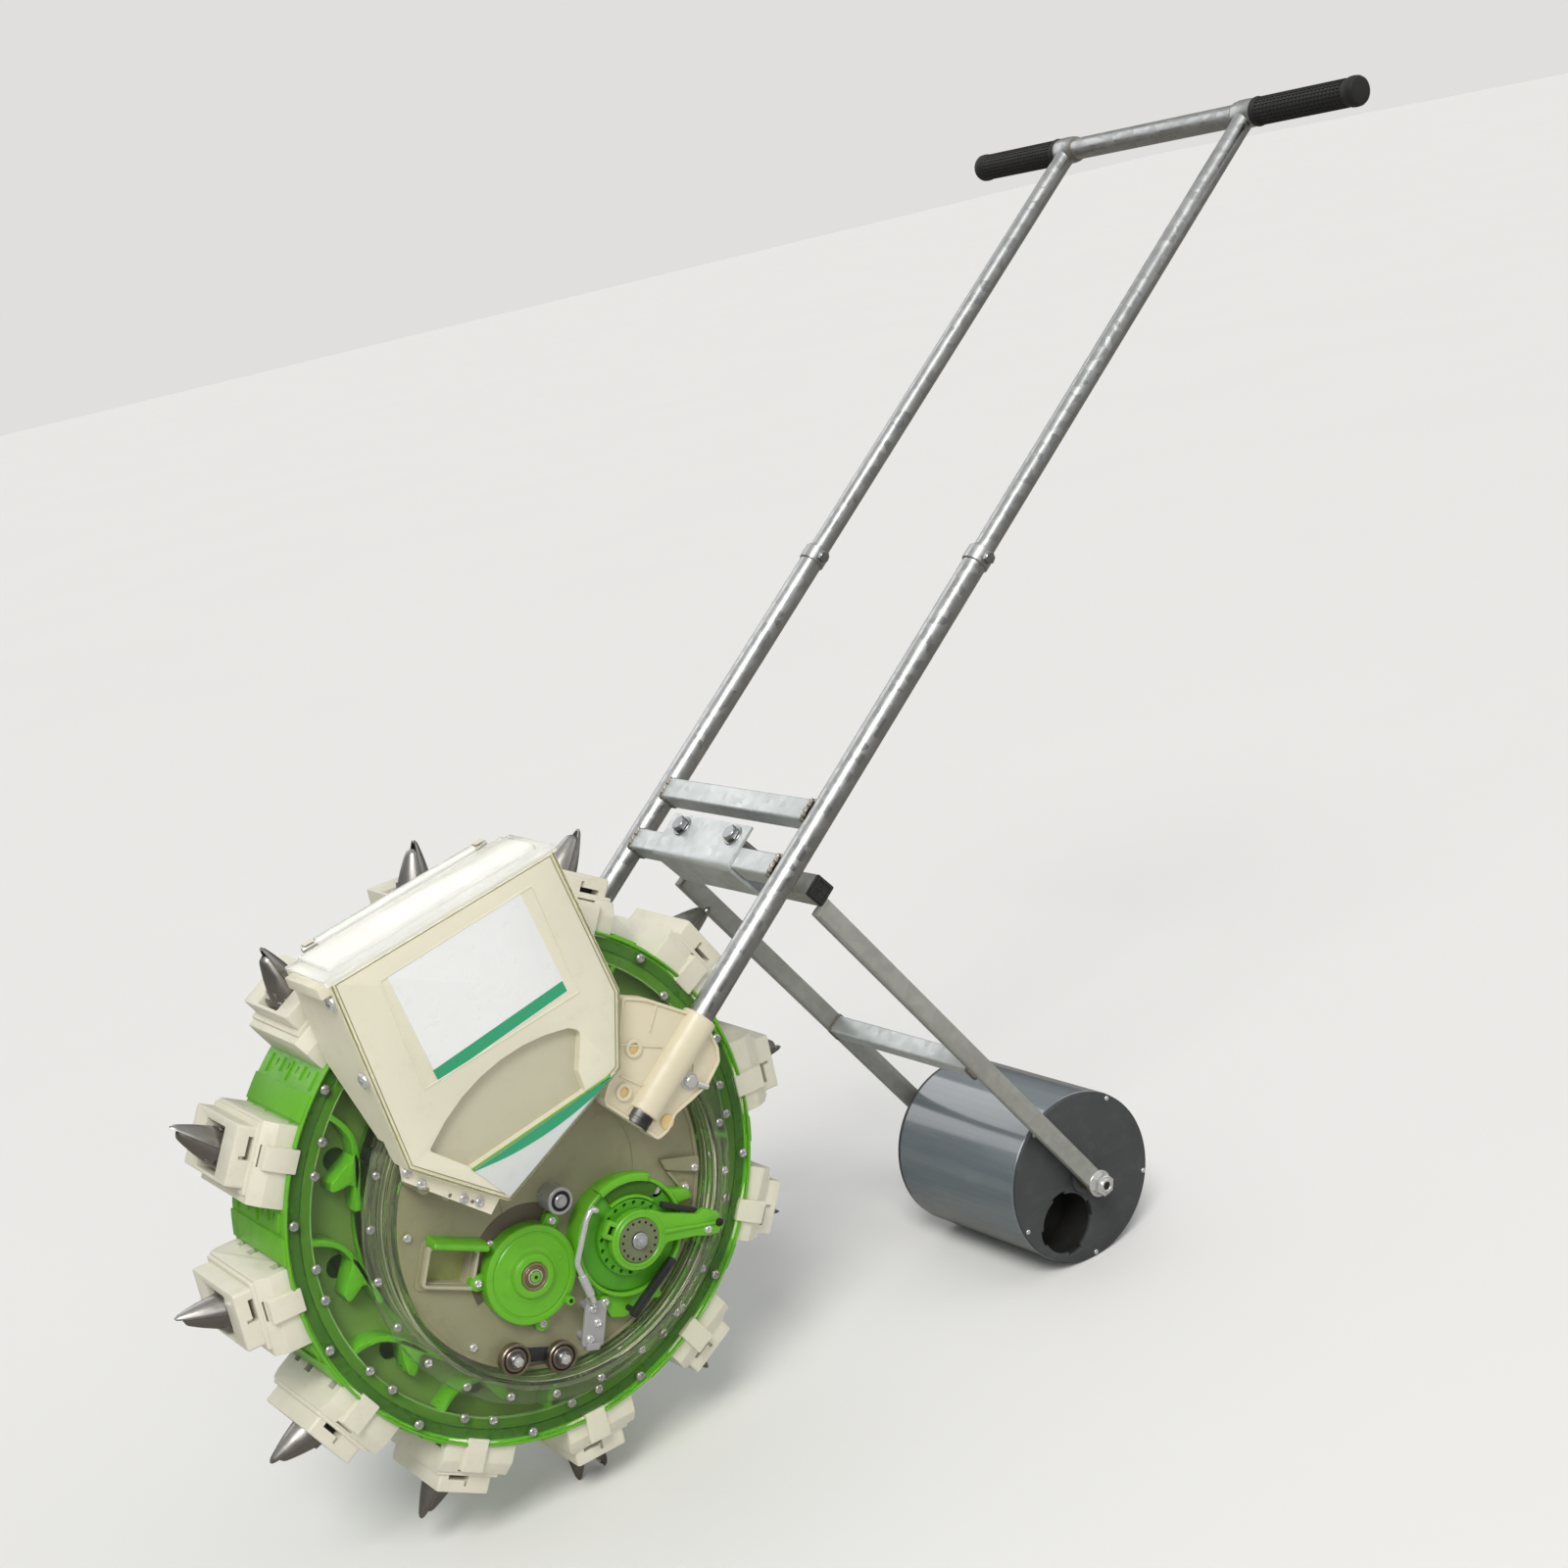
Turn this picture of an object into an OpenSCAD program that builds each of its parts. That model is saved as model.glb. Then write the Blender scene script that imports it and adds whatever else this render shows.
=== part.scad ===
// Push-type wheel seeder: a drum with twelve spring-closed beaks turns on
// rollers round a fixed core that carries the seed hopper, the metering unit
// and the handle; a press roller trails behind.
// +X points back along the handle, the hopper is on the -Y side, +Z is up.
// The origin is on the floor under the middle of the bounding box.

/* [Drum] */
// radius of the drum's rim
rim_r = 210; // [208:0.5:212]
// width of the drum between its faces
rim_w = 100; // [98:1:102]
// radius of the beak tips
tip_r = 287; // [284:0.5:290]
// inner radius of the two collars that the carrying rollers run in
track_r = 142; // [141.5:0.5:142.5]
// distance of the collars' outer edges from the drum's middle
collar_y = 104; // [102:0.5:104.5]
// backward lean of the beaks, degrees
rake = 13; // [11:0.5:15]
// number of beaks round the drum
beak_n = 12; // [12:1:12]

/* [Core] */
// distance of the plates' outer faces from the drum's middle
plate_y = 81; // [80:0.5:82]
// outer radius of the carrying rollers
roller_r = 13; // [12.5:0.1:13.2]
// gear module
gear_m = 3; // [3:0.1:3]

/* [Handle] */
// slope of the handle tubes, degrees
handle_a = 37.6; // [36:0.2:39]
// half distance between the handle tubes
tube_y = 116.6; // [116:0.2:118]
// outer radius of the lower tubes
low_r = 10.5; // [10.2:0.1:10.8]
// outer radius of the sliding upper tubes
up_r = 9; // [8.6:0.1:9]
// distance along the handle from its lower end to the hand bar
bar_s = 1036; // [1000:2:1060]
// half length of the hand bar with its grips
bar_half = 245; // [235:1:255]

/* [Press roller] */
// radius of the press roller
press_r = 80; // [78:0.5:80]
// half length of the press roller
press_half = 86; // [80:1:87]

/* [Hopper] */
// distance of the hopper's front face from the drum's middle
hop_front = 135; // [130:1:140]
// wall thickness of the hopper
hop_t = 3; // [2.5:0.1:3.2]

/* [Hidden] */
$fn = 64;
ground = tip_r;
th = handle_a;
tube0 = [76, 45];
function along(s, n = 0) = [tube0[0] + s*cos(th) - n*sin(th), tube0[1] + s*sin(th) + n*cos(th)];
bar_c = along(bar_s);
knob_r = 13;
x_mid = (bar_c[0] + knob_r - tip_r)/2;
step = 360/beak_n;
hw = rim_w/2;
function pol(r, a) = [r*cos(a), r*sin(a)];
function unit(v) = v/norm(v);
// moves every edge of a clockwise outline inwards by d
function inset(P, d) = [for (i = [0:len(P) - 1]) let (a = P[(i + len(P) - 1)%len(P)], b = P[i], c = P[(i + 1)%len(P)],
    u = unit(b - a), v = unit(c - b), nu = [u[1], -u[0]], nv = [v[1], -v[0]]) b + (nu + nv)*d/(1 + nu*nv)];
// a band of width w along an open line of points
function normal_at(P, i) = let (a = P[max(i - 1, 0)], b = P[min(i + 1, len(P) - 1)], u = unit(b - a)) [-u[1], u[0]];
function band(P, w) = concat([for (i = [0:len(P) - 1]) P[i] + normal_at(P, i)*w/2],
    [for (i = [len(P) - 1:-1:0]) P[i] - normal_at(P, i)*w/2]);
// gear outline: root and tip radii, half widths as parts of one pitch
function teeth(n, rr, rt, hr, ht, ph) = [for (i = [0:n - 1], k = [0:3])
    pol(k == 0 || k == 3 ? rr : rt, ph + 360*i/n + (k == 0 ? -hr : k == 1 ? -ht : k == 2 ? ht : hr)*360/n)];

// gear train: internal ring on the drum, metering gear, idler
n_ring = 90; n_meter = 40; n_idle = 19;
rp_ring = n_ring*gear_m/2; rp_meter = n_meter*gear_m/2; rp_idle = n_idle*gear_m/2;
meter_a = -46.1;
meter_c = pol(rp_ring - rp_meter, meter_a);
idle_a = 177.1;
idle_c = meter_c + pol(rp_meter + rp_idle, idle_a);
ph_ring = meter_a;
ph_meter = meter_a + 180/n_meter;
mesh_off = ph_meter - idle_a;
ph_idle = idle_a + 180 - mesh_off*n_meter/n_idle + 180/n_idle;
gear_y0 = -(plate_y - 7); gear_y1 = gear_y0 + 8;

// carrying rollers
roller_c = track_r - 0.3 - roller_r;

// back face of the drum's inner wall
wall_y = -27;
roller_a = [-122, -103];
ry0 = plate_y + 7.3; ry1 = plate_y + 14.7;

// screws in the front plate and the covers on it: centre and face
face_p = -plate_y;
cover_ear = [46.8, 166, -88.8];
win_c = [-97, -18]; win_a = -26;
function in_win(u, v) = win_c + [u*cos(win_a) - v*sin(win_a), u*sin(win_a) + v*cos(win_a)];
plate_scr = concat([for (a = cover_ear) [idle_c + pol(43, a), face_p - 7]],
    [[in_win(-33, 19.5), face_p], [in_win(31.5, 21.3), face_p], [pol(130, -136.2), face_p], [pol(133, -14.4), face_p], [pol(128, -22), face_p]]);
flange_scr = [[-113, 65], [-97, 53], [-81, 41]];
flange_y = -(hop_front - 16);
cover_scr = concat([for (k = [0:beak_n - 1]) [202.5, 15 + step*k]],
    [for (k = [0:beak_n - 1], s = [-1, 1]) [188.5, step*k + 4*s]]);
ring_scr = [for (k = [0:2*beak_n - 1]) [158, step/2*k]];

// hopper outline, seen from the front
hop = [[-149, 245], [48, 279], [75, 155], [60, 96], [-57, 34], [-128, 90]];
hop_tilt = atan2(hop[1][1] - hop[0][1], hop[1][0] - hop[0][0]);
hop_len = norm(hop[1] - hop[0]);
hop_back = 58;

press_c = [520, -(tip_r - press_r)];

module place() { translate([-x_mid, 0, ground]) children(); }
// flat outlines in x and z, given a depth from y0 to y1
module yext(y0, y1) { translate([0, y1, 0]) rotate([90, 0, 0]) linear_extrude(y1 - y0) children(); }
// flat outlines in y and z, given a length from x0 to x1
module xext(x0, x1) { translate([x0, 0, 0]) rotate([90, 0, 90]) linear_extrude(x1 - x0) children(); }
module ycyl(c, r, y0, y1) { translate([c[0], y0, c[1]]) rotate([-90, 0, 0]) cylinder(r = r, h = y1 - y0); }
module ytube(c, ro, ri, y0, y1) { difference() { ycyl(c, ro, y0, y1); ycyl(c, ri, y0 - 1, y1 + 1); } }
// turned to the angle of beak k; the radius runs along x
module at_beak(k) { rotate([0, 90 - step*k, 0]) children(); }
module on_tube(y = 0) { translate([tube0[0], y, tube0[1]]) rotate([0, -th, 0]) children(); }
module xcyl(r, x0, x1) { translate([x0, 0, 0]) rotate([0, 90, 0]) cylinder(r = r, h = x1 - x0); }
module both() { children(); mirror([0, 1, 0]) children(); }
module pan_screw(c, y) { ycyl(c, 3.6, y - 2, y); ycyl(c, 1.5, y - 0.5, y + 2.6); }

// ---------------------------------------------------------------- core
module plate_blank() {
    difference() {
        ycyl([0, 0], track_r - 3, -plate_y, -(plate_y - 4));
        ycyl([0, 0], 9.02, -90, -70);
        for (a = roller_a) ycyl(pol(roller_c, a), 4.02, -90, -70);
    }
}
module front_plate() color([0.80, 0.78, 0.68]) place() {
    difference() {
        union() {
            plate_blank();
            // posts under the hopper's strip, and the seed throat
            for (c = flange_scr) ycyl(c, 5, flange_y, -plate_y + 1);
            translate([-72, -(hop_front - 20.05), 52]) cube([36, hop_front - 20.05 - plate_y + 1, 28]);
        }
        for (c = flange_scr) ycyl(c, 1.55, flange_y - 5, flange_y + 3);
        ycyl(meter_c, 6.05, -90, -70);
        ycyl(idle_c, 5.05, -90, -70);
        translate([-69, -(hop_front - 10), 55]) cube([30, 60, 22]);
        translate([win_c[0], 0, win_c[1]]) rotate([0, -win_a, 0]) translate([-19, -90, -13]) cube([38, 20, 26]);
        for (s = plate_scr) if (s[1] > face_p - 1) ycyl(s[0], 1.55, -90, face_p + 2.7);
    }
}
module rear_plate() color([0.80, 0.78, 0.68]) place() { mirror([0, 1, 0]) plate_blank(); }
module tie_rod() color([0.72, 0.73, 0.74]) place() {
    ycyl([0, 0], 9, -96, 96);
    both() { ycyl([0, 0], 11, -96, -plate_y); ycyl([0, 0], 7, -101, -95.9); }
    ycyl([0, 0], 11, -(plate_y - 4), plate_y - 4);
}
module stay_posts() color([0.70, 0.71, 0.72]) place() {
    for (a = [45, 150, -98]) ycyl(pol(118, a), 6, -(plate_y - 4), plate_y - 4);
}
module gear_cover() color([0.36, 0.75, 0.12]) place() {
    difference() {
        union() {
            ycyl(idle_c, 39, face_p - 15, face_p);
            ycyl(idle_c, 15, face_p - 20, face_p - 14);
            for (a = cover_ear) ycyl(idle_c + pol(43, a), 6.5, face_p - 7, face_p);
            ycyl(idle_c + pol(40, -53), 3.5, face_p - 18, face_p);
        }
        ycyl(idle_c, 36, face_p - 12, face_p + 1);
        ycyl(idle_c, 11.02, face_p - 30, face_p - 8);
        for (a = cover_ear) ycyl(idle_c + pol(43, a), 1.55, face_p - 9, face_p - 4.2);
        ycyl(idle_c + pol(40, -53), 1.5, face_p - 20, face_p - 10);
    }
}
module idler_gear() color([0.55, 0.56, 0.58]) place() {
    translate([idle_c[0], 0, idle_c[1]]) yext(gear_y0, gear_y1)
        polygon(teeth(n_idle, rp_idle - 3.4, rp_idle + 2.1, 0.31, 0.12, ph_idle));
    ycyl(idle_c, 5, -(plate_y + 19), gear_y1 + 4);
}
module metering_housing() color([0.34, 0.72, 0.12]) place() {
    difference() {
        union() {
            ycyl(meter_c, 48.5, face_p - 19, face_p);
            yext(face_p - 11, face_p) polygon([meter_c + [-40, -26], meter_c + [-30, -61], meter_c + [-18, -66], meter_c + [13, -59], meter_c + [20, -42]]);
        }
        ycyl(meter_c, 45.4, face_p - 30, face_p + 1);
    }
}
module metering_wheel() color([0.26, 0.60, 0.12]) place() {
    difference() {
        ycyl(meter_c, 44.9, face_p - 15, face_p - 3);
        ycyl(meter_c, 6.02, -120, -60);
        ycyl(meter_c, 33, face_p - 20, face_p - 9);
        for (k = [0:15]) ycyl(meter_c + pol(39, 22.5*k), 3, face_p - 20, face_p - 6);
    }
    difference() {
        ycyl(meter_c, 31, face_p - 21, face_p - 8.9);
        ycyl(meter_c, 6.02, -120, -60);
        for (k = [0:17]) ycyl(meter_c + pol(28, 20*k), 1.4, face_p - 25, face_p - 16);
    }
}
module metering_gear() color([0.55, 0.56, 0.58]) place() {
    translate([meter_c[0], 0, meter_c[1]]) yext(gear_y0, gear_y1)
        polygon(teeth(n_meter, rp_meter - 3.4, rp_meter + 2.1, 0.31, 0.12, ph_meter));
    ycyl(meter_c, 6, -(plate_y + 32.5), gear_y1 + 4);
}
module metering_arm() color([0.38, 0.78, 0.14]) place() {
    ay0 = -(plate_y + 31.5); ay1 = -(plate_y + 24.5);
    difference() {
        union() {
            ycyl(meter_c, 24.5, ay0, ay1);
            yext(ay0, ay1) polygon([meter_c + [8, 22], meter_c + [18, 19], meter_c + [28, 11.5], meter_c + [57, -2.2],
                meter_c + [63.5, 0.3], meter_c + [76, -8.1], meter_c + [78, -21], meter_c + [71.5, -25.2], meter_c + [62.5, -24],
                meter_c + [51, -19], meter_c + [24, -12.5], meter_c + [14, -21.5]]);
            yext(ay0 + 1, ay1) polygon(band([meter_c, meter_c + [-25.5, 21]], 15));
            ycyl(meter_c + [59, -12], 5.5, ay1 - 0.1, -plate_y);
        }
        ycyl(meter_c, 12.02, -130, -90);
        translate([meter_c[0] - 20.5, 0, meter_c[1] + 16.9]) rotate([0, 39.7, 0]) translate([-3.2, -130, -3.2]) cube([6.4, 40, 6.4]);
    }
}
module bearings() color([0.72, 0.72, 0.72]) place() {
    ytube(meter_c, 12, 6.05, -(plate_y + 31), -(plate_y + 25));
    ytube(idle_c, 11, 5.05, -(plate_y + 19.5), -(plate_y + 12.5));
}
module brush_bar() color([0.05, 0.05, 0.05]) place() {
    yext(-(plate_y + 26), -(plate_y + 19.2)) polygon(band([meter_c + [29, -32], meter_c + [-17, -61]], 8));
    ycyl(meter_c + [-14, -59], 2.5, -(plate_y + 19.3), -(plate_y + 11));
}
module brush_rod() color([0.75, 0.76, 0.78]) place() {
    ry = -(plate_y + 27);
    P = [[meter_c[0] - 28, meter_c[1] + 38], [13, -21], [-3, -52], [2, -88]];
    ycyl(P[0], 2.4, ry - 1.5, -(plate_y + 19));
    for (i = [0:2]) {
        v = P[i + 1] - P[i];
        translate([P[i][0], ry, P[i][1]]) rotate([0, 90 - atan2(v[1], v[0]), 0]) translate([0, 0, -1.2]) cylinder(r = 2.5, h = norm(v) + 2.4);
    }
    ycyl(P[3], 2.4, ry - 1.5, -(plate_y + 15.1));
}
module clamp_plate() color([0.62, 0.63, 0.65]) place() {
    translate([4, 0, -110]) rotate([0, -68.8, 0]) difference() {
        union() {
            translate([-17, -(plate_y + 15), -9.5]) cube([41, 3, 19]);
            for (u = [-11, 12]) ycyl([u, 0], 4, -(plate_y + 12.1), -plate_y);
        }
        ycyl([1, 0], 1.6, -120, -70);
    }
}
module window_frame() color([0.86, 0.84, 0.72]) place() {
    difference() {
        translate([win_c[0], 0, win_c[1]]) rotate([0, -win_a, 0]) difference() {
            translate([-22, -(plate_y + 7), -16]) cube([44, 7, 32]);
            translate([-19, -(plate_y + 8), -13]) cube([38, 9, 26]);
        }
        ycyl(idle_c + pol(43, cover_ear[1]), 7, -120, -70);
    }
}
module window_hood() color([0.36, 0.76, 0.12]) place() {
    difference() {
        translate([win_c[0], 0, win_c[1]]) rotate([0, -win_a, 0]) union() {
            translate([-22, -(plate_y + 9), 16.3]) cube([46, 9, 7]);
        }
        ycyl(in_win(31.5, 21.3), 4.2, -120, -70);
    }
}
module stud(a) {
    c = pol(roller_c, a);
    ycyl(c, 4, -(plate_y + 18), -(plate_y - 4));
    ycyl(c, 6.5, -(ry1 + 0.3), -(ry0 - 0.3));
    ycyl(c, 5.5, -(ry0 - 0.2), -plate_y);
    ycyl(c, 5, -(plate_y + 18), -ry1);
}
module roller_studs() color([0.66, 0.66, 0.66]) place() { both() for (a = roller_a) stud(a); }
module roller(a, s) { mirror([0, s, 0]) ytube(pol(roller_c, a), roller_r, 6.55, -ry1, -ry0); }
module roller_fl() color([0.70, 0.66, 0.62]) place() { roller(roller_a[0], 0); }
module roller_fr() color([0.70, 0.66, 0.62]) place() { roller(roller_a[1], 0); }
module roller_rl() color([0.70, 0.66, 0.62]) place() { roller(roller_a[0], 1); }
module roller_rr() color([0.70, 0.66, 0.62]) place() { roller(roller_a[1], 1); }
module plate_screws() color([0.78, 0.78, 0.78]) place() {
    for (s = plate_scr) pan_screw(s[0], s[1]);
    for (c = flange_scr) pan_screw(c, flange_y - 4);
}

// ---------------------------------------------------------------- hopper
// outer space of the hopper, drawn in by d on every wall except the front and top
module hop_space(d) {
    difference() {
        intersection() {
            yext(-200, 0) polygon(d == 0 ? hop : let (q = inset(hop, d)) [q[0] + [0, 12], q[1] + [0, 12], q[2], q[3], q[4], q[5]]);
            xext(-300, 300) polygon([[-(hop_front - 3), 400], [-(hop_front - 3), 0], [-(hop_front - 20 + d), 0],
                [-(hop_front - 20 + d), 85 + d], [-(hop_back + d), 165 + d], [-(hop_back + d), 400]]);
        }
        ycyl([0, 0], 169 + d, -(collar_y + 4 + d), 0);
    }
}
module hopper_tub() color([0.92, 0.89, 0.76]) place() {
    u = unit(hop[4] - hop[5]);
    difference() {
        union() {
            hop_space(0);
            // strip along the lower edge
            yext(flange_y - 4, flange_y) polygon([hop[5], hop[5] + [-1, -12], hop[4] + [-12, -9], hop[4] + [-1, 1]]);
            // hinge ears
            translate([hop[0][0], -62, hop[0][1]]) rotate([0, -hop_tilt, 0]) for (x = [18, hop_len - 26])
                translate([x, 0, 0]) difference() { translate([0, -4, -2]) cube([8, 8, 11]); translate([0, 0, 5.5]) xcyl(2.02, -1, 9); }
        }
        hop_space(hop_t);
        intersection() { hop_space(hop_t); translate([-400, -(hop_front + 5), -100]) cube([800, 40, 800]); }
        translate([-69, -(hop_front - 10), 55]) cube([30, 60, 22]);
        for (c = flange_scr) ycyl(c, 1.55, flange_y - 5, flange_y + 1);
    }
}
module hopper_panel() color([0.92, 0.89, 0.77]) place() {
    difference() {
        union() {
            yext(-hop_front, -(hop_front - 2.9)) polygon(hop);
            translate([hop[0][0], 0, hop[0][1]]) rotate([0, -hop_tilt, 0]) difference() {
                translate([17, -(hop_front + 0.8), -86]) cube([172, 1, 76]);
                translate([19, -(hop_front + 2), -84]) cube([168, 3, 72]);
            }
        }
        ycyl([0, 0], 145, -(hop_front + 2), -(hop_front - 1));
    }
}
module hopper_lid() color([0.88, 0.92, 0.92, 0.5]) place() {
    translate([hop[0][0], 0, hop[0][1]]) rotate([0, -hop_tilt, 0]) {
        translate([-4, -(hop_front + 3), 1]) cube([hop_len + 6, hop_front + 3 - 68, 3]);
        translate([6, -(hop_front - 8), 3.9]) cube([hop_len - 14, hop_front - 8 - 74, 4]);
        translate([0, -62, 5.5]) difference() {
            union() { xcyl(4, 28, hop_len - 28); translate([28, -8, -3.5]) cube([hop_len - 56, 8, 2.5]); }
            xcyl(2.06, 0, hop_len);
        }
    }
}
module lid_pin() color([0.7, 0.7, 0.7]) place() {
    translate([hop[0][0], -62, hop[0][1]]) rotate([0, -hop_tilt, 0]) translate([0, 0, 5.5]) {
        xcyl(2, 16, hop_len - 16);
    }
}

// ---------------------------------------------------------------- handle
socket_pts = [[84, 143.8], [104.3, 134.6], [137.4, 110.7], [152.5, 92.3], [157.5, 72.6], [155.8, 60.5], [140.4, 46.2], [122, 39.5],
    [106, 34.8], [96.4, 24.6], [85.1, 20.5], [76.8, 31.6], [47.4, 66.4], [47.7, 72.5], [58, 88], [69, 105], [76, 124]];
tube_end = -8;
module socket() {
    difference() {
        union() {
            intersection() { yext(-(collar_y + 3), -plate_y) polygon([[88, 104], [100, 100], [128, 52], [116, 40.5], [100, 32], [84, 46]]); ycyl([0, 0], track_r - 4, -200, 0); }
            yext(-(tube_y + 3), -(collar_y + 1.5)) polygon(socket_pts);
            intersection() { on_tube(-tube_y) xcyl(low_r + 3.8, 3, 92); translate([0, -200, 0]) cube([300, 200 - collar_y - 1.5, 300]); }
        }
        on_tube(-tube_y) xcyl(low_r + 0.05, tube_end - 0.1, 130);
        // weight-saving pockets between the ribs
        yext(-200, -(tube_y - 2)) polygon([[88, 137], [104, 130], [122, 117], [104, 103], [80, 122]]);
        yext(-200, -(tube_y - 2)) polygon([[133, 66], [150, 80], [151, 64], [138, 51]]);
        ycyl([65.7, 70.4], 4.2, -200, -(tube_y - 1));
        ycyl([83, 100.6], 4.4, -200, -(tube_y - 1));
    }
}
module sockets() color([0.93, 0.91, 0.80]) place() { both() socket(); }
module lower_tubes() color([0.72, 0.73, 0.72]) place() {
    both() on_tube(-tube_y) difference() { xcyl(low_r, tube_end, 555); xcyl(up_r + 0.05, tube_end - 1, 556); }
}
module tube_clamps() color([0.30, 0.31, 0.32]) place() {
    for (s = [-1, 1]) on_tube(s*tube_y) difference() {
        union() { xcyl(low_r + 1.4, 539, 553); translate([546, -(low_r + 6), 0]) rotate([-90, 0, 0]) cylinder(r = 5.6, h = 6); }
        xcyl(low_r + 0.02, 530, 560);
    }
}
module upper_tubes() color([0.74, 0.75, 0.74]) place() {
    both() difference() {
        on_tube(-tube_y) difference() { xcyl(up_r, 440, bar_s); xcyl(up_r - 1.5, 430, bar_s + 10); }
        ycyl(bar_c, 10.02, -300, 300);
    }
}
module handlebar() color([0.75, 0.76, 0.76]) place() { ytube(bar_c, 10, 8.5, -(bar_half - 3.2), bar_half - 3.2); }
module grips() color([0.09, 0.09, 0.09]) place() {
    both() {
        ytube(bar_c, 11.9, 10.02, -(bar_half - 3), -128);
        ytube(bar_c, knob_r, 10.02, -(bar_half - 3), -(bar_half - 11));
        ytube(bar_c, knob_r, 10.02, -133, -128);
        ycyl(bar_c, knob_r, -bar_half, -(bar_half - 3.05));
    }
}
module crossbars() color([0.72, 0.73, 0.72]) place() {
    difference() {
        on_tube(0) { translate([274, -tube_y, -10]) cube([20, 2*tube_y, 20]); translate([220, -tube_y, -10]) cube([20, 2*tube_y, 20]); }
        both() on_tube(-tube_y) xcyl(low_r + 0.02, -10, 600);
    }
}
module clamp_bracket() color([0.70, 0.71, 0.71]) place() {
    on_tube(0) difference() {
        union() {
            translate([216.5, -55, 10.05]) cube([42, 118, 3]);
            translate([216.5, -55, -33.9]) cube([3, 118, 46.9]);
            translate([216.5, -55, -33.9]) cube([42, 118, 3]);
        }
        for (y = [-38, 40]) translate([247, y, -60]) cylinder(r = 4.05, h = 100);
    }
}
module bracket_bolts() color([0.76, 0.76, 0.76]) place() {
    on_tube(0) for (y = [-38, 40]) translate([247, y, 0]) {
        translate([0, 0, -30.8]) cylinder(r = 4, h = 45);
        translate([0, 0, 13.1]) cylinder(r = 8.5, h = 1.2);
        translate([0, 0, 14.2]) cylinder(r = 7, h = 5, $fn = 6);
        translate([0, 0, -30.8]) cylinder(r = 7, h = 5, $fn = 6);
    }
}

// ---------------------------------------------------------------- press roller
cross_s = 239;
arm_top = along(228.5, -54);
arm_v = press_c - arm_top;
arm_len = norm(arm_v);
arm_a = atan2(arm_v[1], arm_v[0]);
module press_frame() color([0.71, 0.72, 0.72]) place() {
    on_tube(0) translate([cross_s, 0, -44]) difference() {
        translate([-10, -103.5, -10]) cube([20, 207, 20]);
        translate([-8, -120, -8]) cube([16, 240, 16]);
    }
    difference() {
        union() {
            both() translate([arm_top[0], -101, arm_top[1]]) rotate([0, -arm_a, 0]) translate([-3, -8, -9]) cube([arm_len + 12, 8, 18]);
            translate([arm_top[0], 0, arm_top[1]]) rotate([0, -arm_a, 0]) translate([arm_len*0.535, -101.5, -10]) cube([14, 203, 18]);
        }
        ycyl(press_c, 6.02, -200, 200);
        on_tube(0) translate([cross_s - 10, -120, -54]) cube([20, 240, 20]);
    }
}
module end_plugs() color([0.05, 0.05, 0.05]) place() {
    both() on_tube(0) { translate([cross_s - 10, -106.5, -54]) cube([20, 2.9, 20]); translate([cross_s - 7.9, -103.7, -51.9]) cube([15.8, 12, 15.8]); }
}
module press_axle() color([0.74, 0.74, 0.74]) place() {
    ycyl(press_c, 6, -113, 113);
    both() {
        ycyl(press_c, 9, -100.95, -(press_half + 5.3));
        translate([press_c[0], -109.1, press_c[1]]) rotate([90, 0, 0]) cylinder(r = 12.4, h = 1.6);
        translate([press_c[0], -110.6, press_c[1]]) rotate([90, 0, 0]) cylinder(r = 10.4, h = 8, $fn = 6);
    }
}
fill_c = press_c + [-26.5, -35];
module press_roller() color([0.45, 0.49, 0.52]) place() { ytube(press_c, press_r, press_r - 4, -(press_half - 4), press_half - 4); }
module press_caps() color([0.20, 0.21, 0.22]) place() {
    difference() {
        both() {
            ycyl(press_c, press_r - 0.5, -press_half, -(press_half - 3.95));
            ycyl(press_c, 14, -(press_half + 5), -(press_half - 12));
        }
        ycyl(press_c, 6.05, -200, 200);
        ycyl(fill_c, 29, -(press_half + 20), 0);
    }
}

// ---------------------------------------------------------------- drum
module drum_rim() color([0.33, 0.70, 0.13]) place() {
    difference() {
        union() {
            ytube([0, 0], rim_r, rim_r - 4.5, -hw, hw);
            ytube([0, 0], rim_r - 1, track_r, hw - 4, hw);
            ytube([0, 0], track_r + 4, track_r, hw - 1, collar_y);
            ytube([0, 0], rim_r - 1, 183, -hw, -(hw - 4));
            difference() {
                ytube([0, 0], rim_r - 1, track_r, wall_y - 3, wall_y);
                for (k = [0:beak_n - 1]) ycyl(pol(172, step*k - 2), 10, -60, 0);
            }
            ytube([0, 0], track_r + 4, track_r, wall_y - 3, hw);
        }
        for (k = [0:beak_n - 1]) at_beak(k) tab_space(0.2);
        for (k = [0:beak_n - 1]) at_beak(k) translate([rim_r - 30, -16, -3]) cube([60, 32, 26]);
        for (s = cover_scr) ycyl(pol(s[0], s[1]), 1.55, -(hw + 1), -(hw - 2));
    }
}
module drum_cover() color([0.45, 0.62, 0.35, 0.45]) place() {
    difference() {
        union() {
            ytube([0, 0], rim_r - 0.5, track_r, -(hw + 3), -hw);
        }
        for (k = [0:beak_n - 1]) at_beak(k) tab_space(0.2);
        for (s = cover_scr) ycyl(pol(s[0], s[1]), 1.55, -60, -40);
    }
}
module cover_collar() color([0.62, 0.72, 0.50, 0.45]) place() {
    difference() {
        union() {
            ytube([0, 0], track_r + 4, track_r, -collar_y, -hw - 3);
            ytube([0, 0], 164, track_r + 3, -92, -89);
            ytube([0, 0], track_r + 7, track_r + 3, -collar_y, -(collar_y - 3));
            ytube([0, 0], track_r + 7, track_r + 3, -77, -74);
        }
        for (s = ring_scr) ycyl(pol(s[0], s[1]), 1.55, -95, -88);
    }
}
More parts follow.
